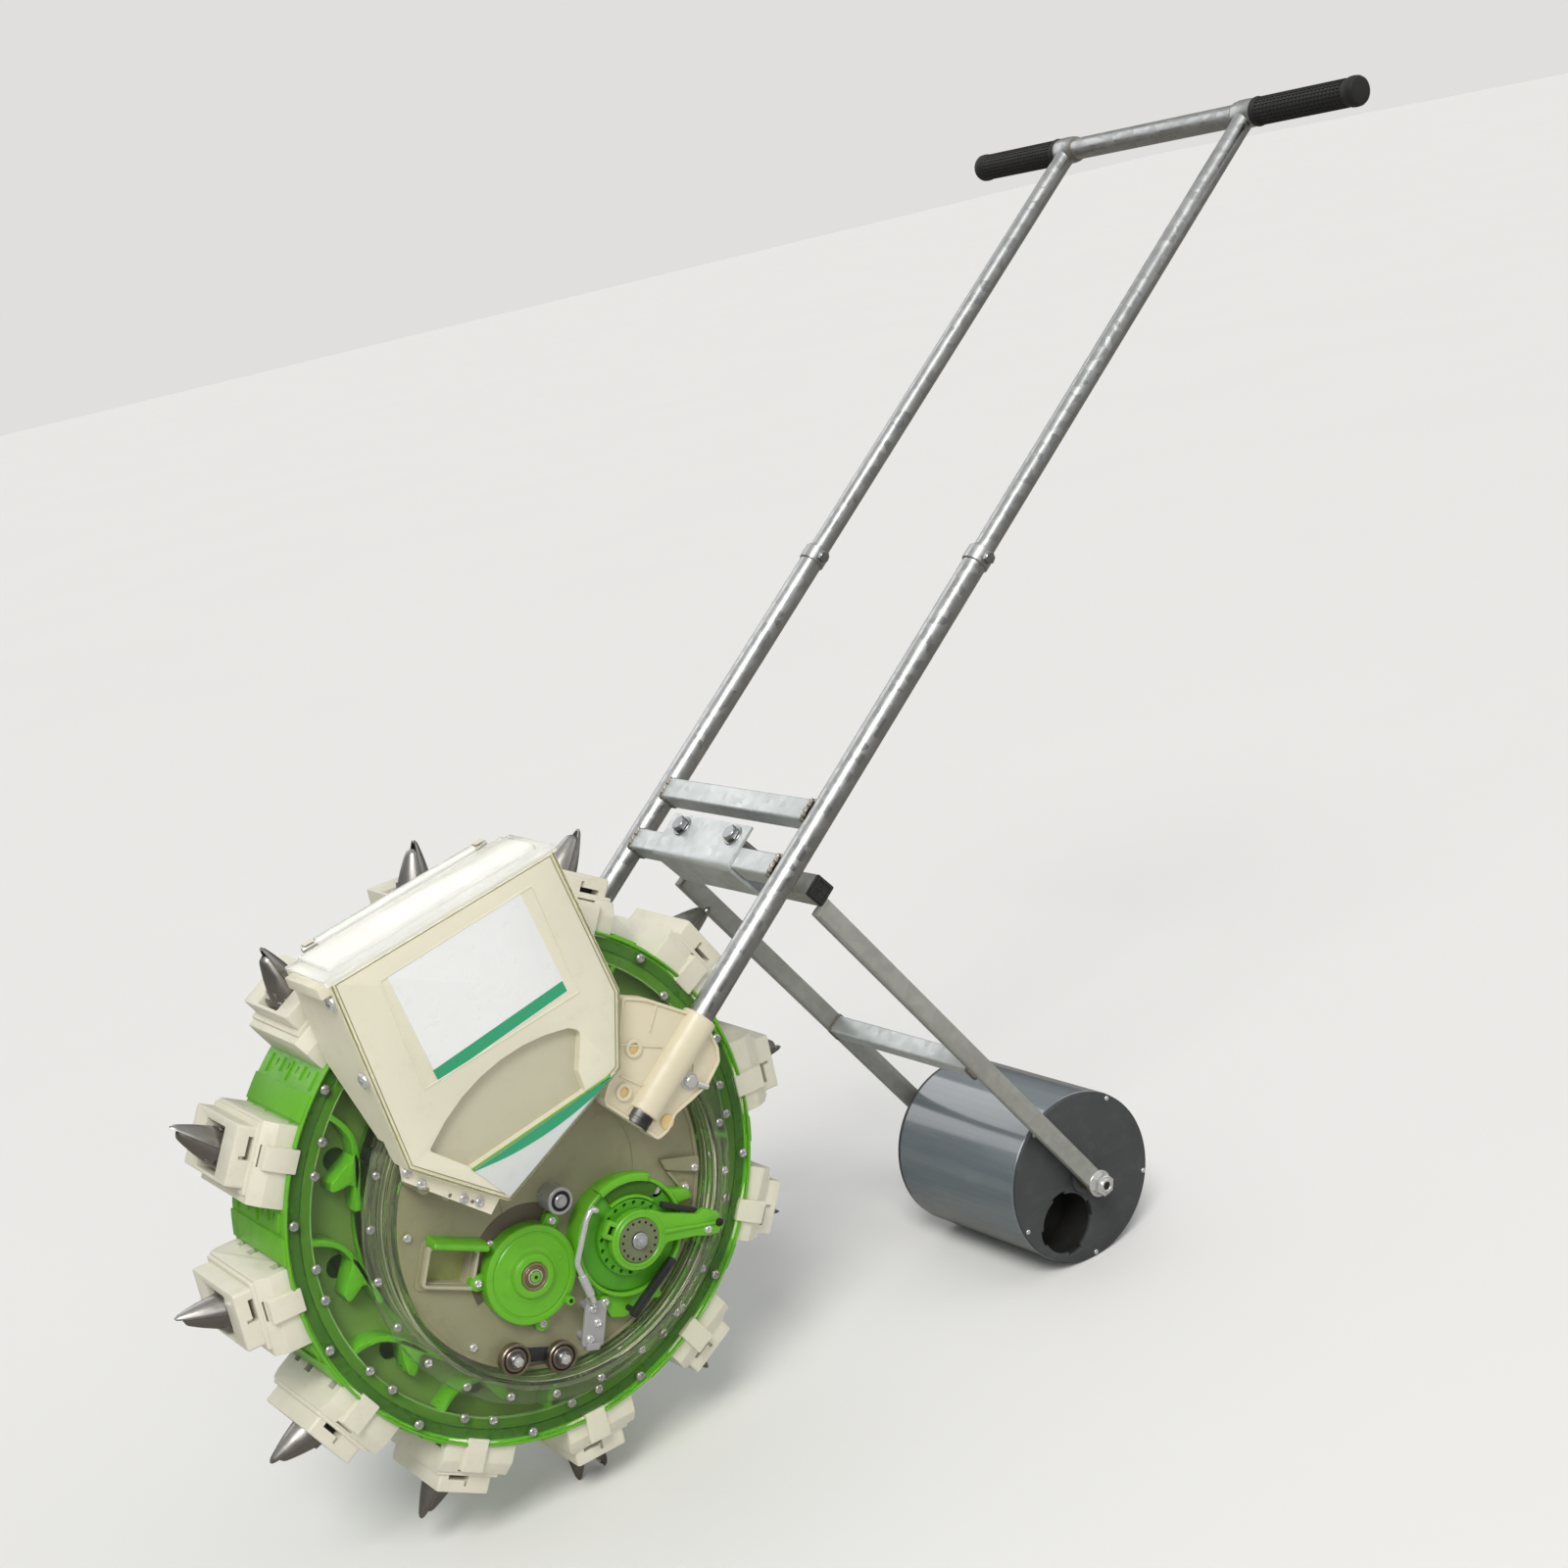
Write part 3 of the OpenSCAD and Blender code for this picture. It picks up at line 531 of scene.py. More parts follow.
VANE = plastic("vane_green", (0.112, 0.370, 0.013), 0.32, 0.08, (0.06, 0.20, 0.02), 0.25)
PALE_EDGE_HIGHLIGHT = plastic("pale_edge_painted_highlight", (0.23, 0.38, 0.14), 0.34, 0.10, (0.10, 0.16, 0.06), 0.3)
GLINT = plastic("collar_glint", (0.62, 0.66, 0.55), 0.25, 0.06, (0.45, 0.50, 0.38), 0.2)
RIDGE_SHADE = plastic("collar_shade", (0.062, 0.075, 0.038), 0.36, 0.15, (0.03, 0.04, 0.02), 0.3)
WHEEL = plastic("wheel_green", (0.074, 0.330, 0.012), 0.38, 0.10, (0.02, 0.08, 0.01), 0.35)
SPECK = plastic("speckled_grey_green", (0.160, 0.182, 0.090), 0.5, 0.18, (0.05, 0.055, 0.03), 0.6)
# Front and rear plates: a darker copy of the cream plastic, painted shade.
PLATE_SHADED_CREAM = plastic("plate_painted_shade_beige", (0.285, 0.275, 0.165), 0.48, 0.08, (0.14, 0.115, 0.065), 0.35)
CRESCENT_SHADOW = plastic("plate_shade", (0.115, 0.092, 0.062), 0.5, 0.15)
OLIVE = plastic("olive_pocket", (0.30, 0.33, 0.115), 0.45, 0.14, (0.12, 0.11, 0.04), 0.4)
# Near-black for the insides of holes, slots and grooves: painted shade.
DARK_HOLLOW_SHADE = plastic("dark_hollow_painted_shade", (0.012, 0.012, 0.010), 0.6, 0.2, (0.03, 0.03, 0.02), 0.3)
BLACK = plastic("black_plastic", (0.022, 0.022, 0.023), 0.42, 0.2, (0.08, 0.075, 0.065), 0.25)
GRIP = plastic("grip_rubber", (0.010, 0.010, 0.010), 0.58, 0.2, (0.045, 0.044, 0.040), 0.20, 1800, 0.35)


def pvc(name, col):
    """Drawn pipe: glossy, with fine lines and scuffs along its length."""
    g = Nodes(name)
    p = g.new("ShaderNodeBsdfPrincipled")
    lines = g.noise(170.0, 4.0, 0.6, ((1.0, 0.025, 1.0), (0, 0, 0)))
    scuff = g.noise(26.0, 6.0, 0.65, ((1.0, 0.35, 1.0), (0, 0, 0)))
    c = g.mix(g.ramp(lines, 0.3, 0.7), shade(col, 0.90), shade(col, 1.10))
    c = g.mix(g.ramp(scuff, 0.56, 0.80, 0.0, 0.30), c, (0.27, 0.27, 0.26))
    g.link(c, p.inputs["Base Color"])
    g.link(g.ramp(scuff, 0.35, 0.75, 0.11, 0.30), p.inputs["Roughness"])
    p.inputs["IOR"].default_value = 1.65
    p.inputs["Coat Weight"].default_value = 1.0
    p.inputs["Coat IOR"].default_value = 1.7
    p.inputs["Coat Roughness"].default_value = 0.10
    g.link(g.bump(lines, 0.05, 0.0004), p.inputs["Normal"])
    g.link(p.outputs[0], g.out.inputs["Surface"])
    return g.mat


PVC = pvc("grey_pvc", (0.135, 0.165, 0.185))
CHARCOAL = plastic("cap_charcoal", (0.050, 0.053, 0.056), 0.46, 0.15, (0.15, 0.15, 0.14), 0.25, 1700, 0.3)
LABEL = plastic("label_white", (0.77, 0.775, 0.77), 0.30, 0.03, (0.55, 0.52, 0.46), 0.12, 1400, 0.02)
LABEL_LOW = plastic("label_grey", (0.60, 0.625, 0.60), 0.32, 0.05, (0.42, 0.44, 0.40), 0.25, 1400, 0.02)
TRIM = plastic("label_trim", (0.030, 0.330, 0.160), 0.32, 0.05, (0.02, 0.2, 0.1), 0.1, 1400, 0.02)
EDGE = plastic("label_edge", (0.150, 0.420, 0.060), 0.32, 0.05, (0.1, 0.3, 0.1), 0.1, 1400, 0.02)
SEAL = plastic("bearing_seal", (0.20, 0.135, 0.085), 0.42, 0.15, (0.05, 0.04, 0.03), 0.3)
COVER = clear("clear_cover", (0.90, 0.97, 0.86), 0.01, 0.03, 1.13)
COLLAR = clear("clear_collar", (0.935, 0.96, 0.83), 0.025, 0.04, 1.17)
LID = clear("clear_lid", (0.97, 0.97, 0.95), 0.35, 0.10)
GALV = metal("galvanised", (0.50, 0.51, 0.505), 0.32, 0.12, None, (0.30, 0.26, 0.20), 0.18, True)
FLAT = metal("galvanised_flat", (0.66, 0.69, 0.69), 0.40, 0.14, None, (0.40, 0.36, 0.30), 0.28, True, 0.55)
ARMS = metal("galvanised_arm", (0.37, 0.375, 0.345), 0.45, 0.14, None, (0.24, 0.21, 0.16), 0.28, True, 0.30)
PLATED = metal("plated_clamp", (0.45, 0.45, 0.45), 0.34, 0.14, None, (0.26, 0.24, 0.20), 0.25, False, 0.40)
SCREW = metal("screw_steel", (0.56, 0.56, 0.55), 0.20, 0.12, bare=0.70)
ENDS = metal("tube_end_dark", (0.12, 0.12, 0.12), 0.42, 0.3, None, (0.30, 0.28, 0.25), 0.5)
STEEL = metal("bright_steel", (0.74, 0.74, 0.73), 0.20, 0.08, bare=0.62)
ZINC = metal("zinc", (0.52, 0.53, 0.55), 0.33, 0.12, bare=0.62)
GEARS = metal("gear_steel", (0.45, 0.44, 0.43), 0.38, 0.15)
BEAK = metal("beak_steel", (0.38, 0.365, 0.345), 0.32, 0.2, None, (0.26, 0.21, 0.15), 0.45)
WELD = metal("weld_stain", (0.40, 0.365, 0.32), 0.46, 0.3, None, (0.15, 0.11, 0.08), 0.5)
BRASS = metal("dull_brass", (0.46, 0.39, 0.20), 0.40, 0.18, None, (0.14, 0.11, 0.05), 0.4)
RUST = metal("browned_steel", (0.40, 0.335, 0.27), 0.34, 0.25, None, (0.14, 0.09, 0.05), 0.55)
BOLT = metal("bolt_steel", (0.34, 0.34, 0.35), 0.30, 0.2, None, (0.10, 0.09, 0.08), 0.4)


# ------------------------------------------------------------------ fasteners
def cross_head(r, h):
    """Pan head, seat at y 0 and top at -h, with a cross recess."""
    head = lathe([(0, 0), (r, 0), (r, -h * 0.35), (r * 0.93, -h * 0.62), (r * 0.74, -h * 0.86), (r * 0.42, -h * 0.98), (0, -h)], (0, 0), 24, False)
    w = r * 0.2
    cut = prism([(-w, -r * 0.62), (w, -r * 0.62), (w, -w), (r * 0.62, -w), (r * 0.62, w), (w, w), (w, r * 0.62), (-w, r * 0.62), (-w, w), (-r * 0.62, w), (-r * 0.62, -w), (-w, -w)], -h - 1, -h * 0.42)
    return boolean(head, cut)


HEAD_L = cross_head(4.0, 2.6)
HEAD_M = cross_head(3.5, 2.3)
HEAD_S = cross_head(3.0, 2.0)
HEAD_T = cross_head(2.3, 1.4)
HEAD_X = cross_head(5.0, 3.0)


def screw(m, c, y, a=0.0):
    return xf(m, shift(c[0], y, c[1]) @ turn(a))


def hex_head(r, h, washer=0.0):
    """Hexagon head along -y from 0, with a domed top and an optional washer."""
    P = [pol(r, 60 * i) for i in range(6)]
    y0 = -1.4 if washer else 0.0
    top = lathe([(0, y0 - h - 0.2), (r * 0.80, y0 - h), (r * 0.88, y0 - h + 0.5), (r * 0.88, y0 - h + 1.2), (0, y0 - h + 1.2)], (0, 0), 24, False)
    m = join(prism(P, y0 - h + 0.5, y0, 0.25), top)
    if washer:
        m = join(m, ring((0, 0), washer, 2.0, -1.4, 0.0, 0.3, 32))
    return m


# ------------------------------------------------------------------ drum
def beak_cutters(lo, hi, bev=0.0):
    m = block(lo, hi, bev)
    return join(*[xf(m, beak_at(k)) for k in range(12)])


tab_cut = beak_cutters((203.6, -70, -5.4), (222, -46.0, 14.4))
rim = lathe([(205.6, 50), (209.4, 50), (210.1, 49.3), (210.1, -54.0), (209.6, -54.6), (208.5, -54.6), (207.9, -54.0), (207.9, -49.8), (205.6, -49.8)], seg=240)
slots = join(*[xf(block((203, y - w / 2, 47.5), (216, y + w / 2, 47.5 + ln), 0), beak_at(k)) for k in range(12) for y, w, ln in ((-33, 2.6, 8), (-12, 3.4, 10), (4, 2.6, 7), (25, 3.4, 9))])
rim = boolean(boolean(rim, tab_cut), slots)
flange = boolean(lathe([(188.6, -46.1), (188.6, -49.7), (196.2, -49.7), (196.3, -48.6), (197.3, -48.6), (197.4, -49.7), (207.8, -49.7), (207.8, -46.1)], seg=240), tab_cut)
step = lathe([(188.6, -49.6), (188.6, -50.0), (196.1, -50.0), (196.1, -49.6)], seg=200)
P = Part()
P.add(rim, 0)
P.add(flange, 1)
P.add(step, 3)
# Pale ring at the band's inner edge: a painted highlight.
P.add(lathe([(187.3, -46.1), (187.3, -49.9), (187.6, -50.05), (188.2, -50.05), (188.5, -49.9), (188.5, -46.1)], seg=180), 4)
P.add(prism(circle((0, 0), 207, 160), -30, -27, 0, [circle((0, 0), 146.2, 120)] + [circle(pol(163.5, 30 * k + 0.8), 9.6, 32) for k in range(12)]), 2)
P.add(lathe([(142, 103.4), (142.6, 104), (145.4, 104), (146, 103.4), (146, 50.4), (147, 50), (206, 50), (206, 46), (146, 46), (146, -27.2), (142, -27.2)], seg=160), 0)
P.add(lathe([(150, 50), (150, 52.4), (153, 52.4), (153, 50)], seg=120), 0)
P.add(lathe([(182, 50), (182, 52.4), (185, 52.4), (185, 50)], seg=120), 0)
for k in range(24):
    P.add(block((152, 49.8, -1.2), (183, 52.2, 1.2), 0.4), 0, turn(15 * k + 7.5))
for k in range(12):
    M = beak_at(k)
    pad = [pol(211.9, a) for a in (17.4, 18.4, 19.4, 20.4, 21.4, 22.4, 23.3)] + [pol(209, a) for a in (23.3, 22.4, 21.4, 20.4, 19.4, 18.4, 17.4)]
    P.add(prism(pad, -53.2, 49.4, 0.6), 0, M)
    for y0, y1, a0, a1 in ((-46, -43.6, 12.4, 16.6), (-24, -22, 12.4, 15.4), (-2, 0, 12.4, 16.6), (14, 16, 12.4, 15.4), (36, 38, 12.4, 16.6)):
        rib = [pol(211.7, a0), pol(211.7, (a0 + a1) / 2), pol(211.7, a1), pol(209, a1), pol(209, (a0 + a1) / 2), pol(209, a0)]
        P.add(prism(rib, y0, y1, 0.3), 0, M)
P.build("drum_shell", "drum", [GREEN, BAND, WALL, MIDBAND, PALE_EDGE_HIGHLIGHT], ["drum_rim"], "green_plastic")

P = Part()
P.add(boolean(lathe([(146.4, -50.15), (207.5, -50.15), (207.5, -52.5), (207.0, -53), (147, -53), (146.4, -52.5)], seg=200), tab_cut))
P.build("cover_ring", "drum", [COVER], ["drum_cover"], "clear_plastic")

P = Part()
P.add(lathe([(142, -53.3), (142, -103.3), (142.7, -104), (148.3, -104), (149, -103.3), (149, -101.6), (148.3, -101), (146, -100.6), (146, -92.2), (163.3, -92), (164, -91.4), (164, -89.6), (163.3, -89), (146, -88.8), (146, -77.4), (148.6, -77), (149, -76.4), (149, -74.6), (148.6, -74), (146, -73.6), (146, -66), (148, -65.6), (148, -63.4), (146, -63), (146, -53.3)], seg=180))
# Thin rings on the collar: the dark ones are painted shade, the pale and white ones painted highlights of its clear
# ridges.
for y, w, m in ((-99.4, 0.8, 1), (-97.2, 0.45, 3), (-94.0, 0.7, 1), (-86.8, 0.8, 1), (-84.8, 0.45, 3), (-80.0, 0.8, 1), (-78.2, 0.4, 2), (-71.6, 0.8, 1), (-69.6, 0.45, 3), (-61.0, 0.8, 1), (-58.6, 0.4, 2)):
    P.add(lathe([(146.02, y), (146.02, y - w), (146.3, y - w), (146.3, y)], seg=160), m)
P.build("collar_clear", "drum", [COLLAR, RIDGE_SHADE, PALE_EDGE_HIGHLIGHT, GLINT], ["cover_collar"], "clear_plastic")

P = Part()
vane = [pol(r, a) for r, a in ((188, -9.8), (180, -9.3), (171, -8.2), (162.5, -6.0), (155.6, -1.6), (151.4, 4), (149.3, 9.5), (148.5, 14))]
finger = [pol(r, a) for r, a in ((157, -3), (161, 0.2), (165.8, 2.7), (169.4, 4.6), (172.4, 6.2), (171.8, 8.0), (168.6, 8.3), (162.5, 7.3), (156.5, 6.2), (152.2, 6.8), (149.6, 8.2), (149.8, 3), (152, -1))]
vm = join(prism(band(curve(vane, 5), 4.6), -49.7, -30.1, 0.7), prism(fillet(finger, 1.2, 3), -49.7, -30.1, 0.6))
for k in range(12):
    P.add(vm, 0, turn(30 * k))
P.build("vanes", "drum", [VANE], ["seed_vanes"], "green_plastic")

P = Part()
for k in range(12):
    P.add(screw(HEAD_L, pol(202.5, 15 + 30 * k), -53, 37 * k))
    for s in (-4, 4):
        P.add(screw(HEAD_L, pol(188.5, 30 * k + s), -53, 23 * k + 9 * s))
for k in range(24):
    P.add(screw(HEAD_M, pol(158, 15 * k), -92, 41 * k))
P.build("drum_fasteners", "drum", [SCREW], ["drum_screws"], "bright_steel")

# blocks that carry the beaks
base = xf(prism(fillet([(205, -50), (224, -50), (234.6, -44.5), (234.6, 44), (227, 47), (205, 47)], [2, 2.5, 2, 2, 2.5, 2], 3), -22, 42, 1.0), FROM_SIDE)
cap = xf(prism(fillet([(-16, -41), (31.5, -41), (31.5, 42), (-16, 42)], 3.0, 4), 233.5, 252, 1.3, [fillet([(-9, -18), (28.2, -18), (28.2, 18), (-9, 18)], 1.5, 3)]), FROM_UP)
neck = xf(prism(fillet([(-20, -43), (36, -43), (36, 44), (-20, 44)], 2.0, 3), 231, 237.5, 1.0, [fillet([(-9, -18), (28.2, -18), (28.2, 18), (-9, 18)], 1.5, 3)]), FROM_UP)
tab = block((203.9, -54.2, -5.0), (231, -44, 14.0), 1.0)
well = xf(prism([(-8.9, -17.9), (28.1, -17.9), (28.1, 17.9), (-8.9, 17.9)], 212, 270), FROM_UP)
body = boolean(base, tab, "UNION")
body = boolean(body, neck, "UNION")
body = boolean(body, cap, "UNION")
cuts = (block((237.6, -48, -8), (241.6, -29, 10), 0), block((241.6, -48, 7.2), (246.4, -38, 10), 0), block((231.6, -52, -4), (233.2, -40, 13), 0),
            block((206, -41.5, -30), (216, -32, -13), 0), block((206, 4, -30), (216, 13.5, -13), 0), block((206, 28, -30), (214, 36, -15), 0), well)
for cut in cuts:
    body = boolean(body, cut)
P = Part()
for k in range(12):
    P.add(body, 0, beak_at(k))
    # Dark plates at the bottom of the block's slots: painted shade.
    for lo, hi in (((206.2, -41.3, -14.0), (215.8, -32.2, -13.05)), ((206.2, 4.2, -14.0), (215.8, 13.3, -13.05)), ((206.2, 28.2, -16.0), (213.8, 35.8, -15.05)), ((237.8, -30.0, -7.8), (241.4, -29.05, 9.8))):
        P.add(block(lo, hi, 0), 1, beak_at(k))
P.build("beak_blocks", "drum", [IVORY, DARK_HOLLOW_SHADE], ["duckbill_blocks"], "cream_plastic")


def half_cone(u0, u1, side, shrink=0.0, seg=18):
    """Half of a pointed sheet-metal shell along the radius; side -1 leads, +1 trails."""
    n = 16
    V, F = [], []

    def radius(u):
        t = (u - 247) / 40.0
        r = 15.0 * (1 - t) + 2.6 * t + 1.1 * math.sin(math.pi * t)
        if u > u1 - 3.2:
            e = (u - (u1 - 3.2)) / 3.2
            r *= math.sqrt(max(0.05, 1 - 0.72 * e * e))
        return r - shrink
    grid = {}
    for w in (0, 1):
        for i in range(n + 1):
            u = u0 + (u1 - u0) * (i / n) ** 0.9
            for j in range(seg + 1):
                a = math.pi * j / seg
                r = max(0.25, radius(u) - (1.5 if w else 0.0))
                uu = u - (2.0 if w and i == n else 0.0)
                grid[w, i, j] = len(V)
                V.append((uu, -r * math.cos(a), side * (0.15 + r * math.sin(a))))
    for w in (0, 1):
        for i in range(n):
            for j in range(seg):
                F.append((grid[w, i, j], grid[w, i + 1, j], grid[w, i + 1, j + 1], grid[w, i, j + 1]))
    for i in range(n):
        for j in (0, seg):
            F.append((grid[0, i, j], grid[1, i, j], grid[1, i + 1, j], grid[0, i + 1, j]))
    for j in range(seg):
        for i in (0, n):
            F.append((grid[0, i, j], grid[0, i, j + 1], grid[1, i, j + 1], grid[1, i, j]))
    return clean(V, F)


RAKE = shift(287) @ Matrix.Rotation(math.radians(13), 4, "Y") @ shift(-287)
PIN = (243.0, 11.0)
fixed = join(half_cone(246, 287, -1), pipe([(243, -30.6, 11), (243, 30.6, 11)], 2.45, 20), block((237, -8, -14.2), (252, 8, -12.6), 0.4))
moving = join(half_cone(246.2, 280.3, 1, 0.3), pipe([(243, -15, 11), (243, 15, 11)], 4.4, 24, 2.6), block((243, -8, 10.4), (254, 8, 12.6), 0.4))
P = Part()
for k in range(12):
    P.add(fixed, 0, beak_at(k) @ RAKE)
P.build("beaks_fixed", "drum", [BEAK], ["fixed_beaks"], "beak_steel", 40)
for k in range(12):
    M = beak_at(k) @ RAKE
    if k == 0:
        M = M @ turn(34, PIN)
    Part().add(moving, 0, M).build("beak_jaw_%02d" % (k + 1), "jaw_%02d" % (k + 1), [BEAK], ["jaw_%02d" % (k + 1)], "beak_steel", 40)

# ------------------------------------------------------------------ core plates
P = Part()
pocket = prism(fillet(rect(WIN, 39.8, 27.8, -26), 2, 3), -95, -60)
P.add(boolean(lathe([(0, -77), (138.4, -77), (139, -77.6), (139, -82.2), (138.4, -82.8), (136.2, -82.8), (135.6, -82.2), (135.6, -81), (0, -81)], seg=160, loop=False), pocket), 0)
# Dark crescent beside the gear cover: a painted shadow of the recess the cover sits in.
P.add(prism(sector((-33, -46), 36, 50, 55, 195, 36), -81.7, -80.8, 0.3), 1)
P.add(prism(fillet([(100.8, -10.7), (136.3, -21.6), (133.6, -35.6), (103.7, -21.3)], [1.5, 2.5, 2.5, 1.5], 3), -86, -80.8, 0.8), 0)
P.add(prism(band([(105.8, -24), (120.6, -54.3)], 2.6), -85, -80.8, 0.6), 0)
P.add(disc((117.6, -42.7), 5.2, -84.6, -80.8, 0.5, 28), 0)
for c in ((-113, 65), (-97, 53), (-81, 41)):
    P.add(disc(c, 5, -119, -80.8, 0.6, 28), 0)
P.add(prism(fillet([(-72, 52), (-36, 52), (-36, 80), (-72, 80)], 3, 3), -114.9, -80.8, 0.8), 0)
P.add(prism(fillet(rect(WIN, 52, 40, -26), 5, 4), -82.2, -80.8, 0.5, [fillet(rect(WIN, 40, 28, -26), 2, 3)]), 0)
P.add(lathe([(60, -80.9), (60, -81.6), (62, -81.6), (62, -80.9)], (20, 10), 64), 0)
P.build("core_plate_front", "core", [PLATE_SHADED_CREAM, CRESCENT_SHADOW], ["front_plate"], "plate_plastic")

P = Part()
P.add(lathe([(0, 77), (138.4, 77), (139, 77.6), (139, 82.2), (138.4, 82.8), (136.2, 82.8), (135.6, 82.2), (135.6, 81), (58, 81), (58, 83), (55, 83), (55, 81), (24, 81), (23, 84), (18, 84), (17, 81), (0, 81)], seg=160, loop=False))
for k in range(8):
    P.add(block((22, 80.8, -1.4), (137, 83, 1.4), 0.5), 0, turn(45 * k + 20))
P.build("core_plate_rear", "core", [PLATE_SHADED_CREAM], ["rear_plate"], "plate_plastic")

P = Part()
rod = lathe([(0, -101.2), (4.6, -101.2), (5.4, -100.5), (5.4, -99), (8.4, -99), (8.4, -100.2), (10.4, -100.2), (11, -99.6), (11, -81.05), (8.9, -80.9), (8.9, -77), (11, -76.8), (11, 0), (0, 0)], seg=40, loop=False)
P.both(rod, 0)
# Dark ring in the groove by the rod's end: painted shade.
P.both(ring((0, 0), 8.3, 5.5, -99.8, -98.8, 0.2), 1)
P.both(prism([pol(4.0, 60 * i) for i in range(6)], -103.2, -101.0, 0.4), 0)
P.build("through_rod", "core", [ZINC, DARK_HOLLOW_SHADE], ["tie_rod"], "zinc_steel")

# ------------------------------------------------------------------ gear cover
P = Part()
P.add(lathe([(40, -81.05), (40, -93.2), (39.4, -94.2), (38.4, -94.7), (35.2, -94.7), (34.6, -93.7), (33.4, -93.7), (32.6, -94.5), (23, -94.5), (22, -94.9), (21, -95.4), (18.8, -95.4), (17.9, -97.4), (17.3, -98.2), (16.4, -98.6), (12.4, -98.6), (11.8, -98), (11.2, -97.8), (11.2, -88), (36, -88), (36, -81.05)], IC, 96), 0)
for a in (46.8, 166, -88.8):
    c = pol(44.4, a, IC)
    P.add(disc(c, 6.4, -88, -81.05, 0.7, 28), 0)
    P.add(prism(fillet(rect(pol(40, a, IC), 9, 12.6, a), 0.6, 2), -87.4, -81.05, 0.5), 0)
P.add(disc(pol(40.5, -53, IC), 3.8, -99, -81.05, 0.5, 24), 0)
# Dark dot in the boss's hole: painted shade.
P.add(disc(pol(40.5, -53, IC), 1.8, -99.3, -96, 0.2, 16), 1)
for a in (8, 98, 188, 278):
    P.add(disc(pol(27.5, a, IC), 1.5, -95.0, -94, 0.3, 16), 0)
P.build("idler_cover", "core", [GREEN, DARK_HOLLOW_SHADE], ["gear_cover"], "green_plastic")

P = Part()
P.add(ring(IC, 11.0, 8.9, -99.2, -93.6, 0.5), 1)
P.add(ring(IC, 8.8, 6.2, -98.8, -93.6, 0.4), 4)
P.add(lathe([(5.2, -93.6), (5.2, -99.4), (6.1, -99.4), (6.1, -93.6)], IC, 40), 0)
P.add(ring(MC, 18.1, 7.0, -112.6, -110.4, 0.4), 2)
P.add(ring(MC, 11.9, 6.2, -110.3, -106.2, 0.3), 0)
# Ring of dark dots on the speckled hub: painted shade in its small holes.
for k in range(16):
    P.add(disc(pol(15.2, 22.5 * k + 8, MC), 1.15, -112.9, -112.2, 0.2, 12), 3)
P.build("shaft_bearings", "core", [STEEL, SEAL, SPECK, DARK_HOLLOW_SHADE, BRASS], ["bearings"], "bright_steel")

P = Part()
P.add(disc(IC, 4.6, -100.2, -97.6, 0.7, 32), 0)
# Dark centre dot: painted shade of the bore.
P.add(disc(IC, 1.5, -100.5, -99.6, 0.2, 16), 1)
P.build("idler_end", "idler", [GREEN, DARK_HOLLOW_SHADE], (), "gear_steel")

# ------------------------------------------------------------------ metering unit
P = Part()
P.add(lathe([(45.5, -81.05), (45.5, -99.2), (46.2, -100), (48.2, -100), (48.8, -99.3), (48.8, -81.05)], MC, 96), 0)
P.add(prism(sector(MC, 45.6, 52.4, 58, 112, 20), -103, -92, 0.8), 0)
# Dark-green sector: painted shade of the shadowed space inside the housing.
P.add(prism(sector(MC, 33.6, 45.0, 40, 108, 20), -98.6, -96.2, 0.3), 1)
P.add(prism(sector(MC, 31.8, 34.2, 38, 110, 20), -101, -96.2, 0.4), 0)
tail = [off(MC, d) for d in ((-40, -26), (-33, -52), (-30, -61), (-18, -66), (-4, -63), (13, -59), (20, -42))]
P.add(prism(fillet(tail, 4, 4), -92, -81.05, 1.2), 0)
P.add(prism(fillet([off(MC, d) for d in ((4, -46), (4, -59), (15, -61), (17, -46))], 2, 3), -97, -81.05, 0.8), 0)
P.add(disc(off(MC, (33, 26)), 6.5, -96, -81.05, 0.6, 28), 0)
P.add(disc(off(MC, (-34, -44)), 5.5, -95, -81.05, 0.6, 28), 0)
P.add(prism(fillet([off(MC, d) for d in ((40, 22), (64, 13), (66, 4), (44, 6))], 3, 3), -93, -81.05, 0.9), 0)
P.build("meter_housing", "core", [GREEN, BAND], ["metering_housing"], "green_plastic")

P = Part()
P.add(prism(circle(MC, 44.8, 80), -96, -84, 0.6, [circle(MC, 6.1, 24)]), 0)
P.add(prism(circle(MC, 31, 72), -102, -95.5, 0.7, [circle(MC, 6.1, 24)] + [circle(pol(28, 18 * k, MC), 1.7, 14) for k in range(20)]), 0)
P.add(lathe([(20, -101.9), (20, -103), (22.6, -103), (22.6, -101.9)], MC, 64), 0)
P.build("meter_wheel", "metering", [WHEEL], ["metering_wheel"], "dark_green_plastic")

arm = [off(MC, d) for d in ((8, 22), (18, 19), (28, 11.5), (57, -2.2), (63.5, 0.3), (76, -8.1), (78, -21), (71.5, -25.2), (62.5, -24), (51, -19), (24, -12.5), (14, -21.5))]
P = Part()
P.add(lathe([(12.05, -105.5), (12.05, -110.2), (18.3, -110.2), (18.6, -112.6), (19.2, -113.2), (20.6, -113.2), (21.2, -112.5), (23.6, -112.5), (24.5, -111.6), (24.5, -105.5)], MC, 80), 0)
P.add(prism(fillet(arm, [1, 2, 4, 4, 4, 4, 4, 3, 4, 6, 5, 1], 4), -112.0, -105.6, 1.2), 0)
P.add(prism(band([off(MC, (23, -2)), off(MC, (70, -15))], [3.5, 2.2]), -114, -111.4, 0.7), 0)
fing = fillet(band([off(MC, (-8, 6.5)), off(MC, (-25.5, 21))], 15), 2.5, 3)
P.add(prism(fing, -111.5, -105.6, 1.0, [rect(off(MC, (-20.5, 16.9)), 6.4, 6.4, 140.3)]), 0)
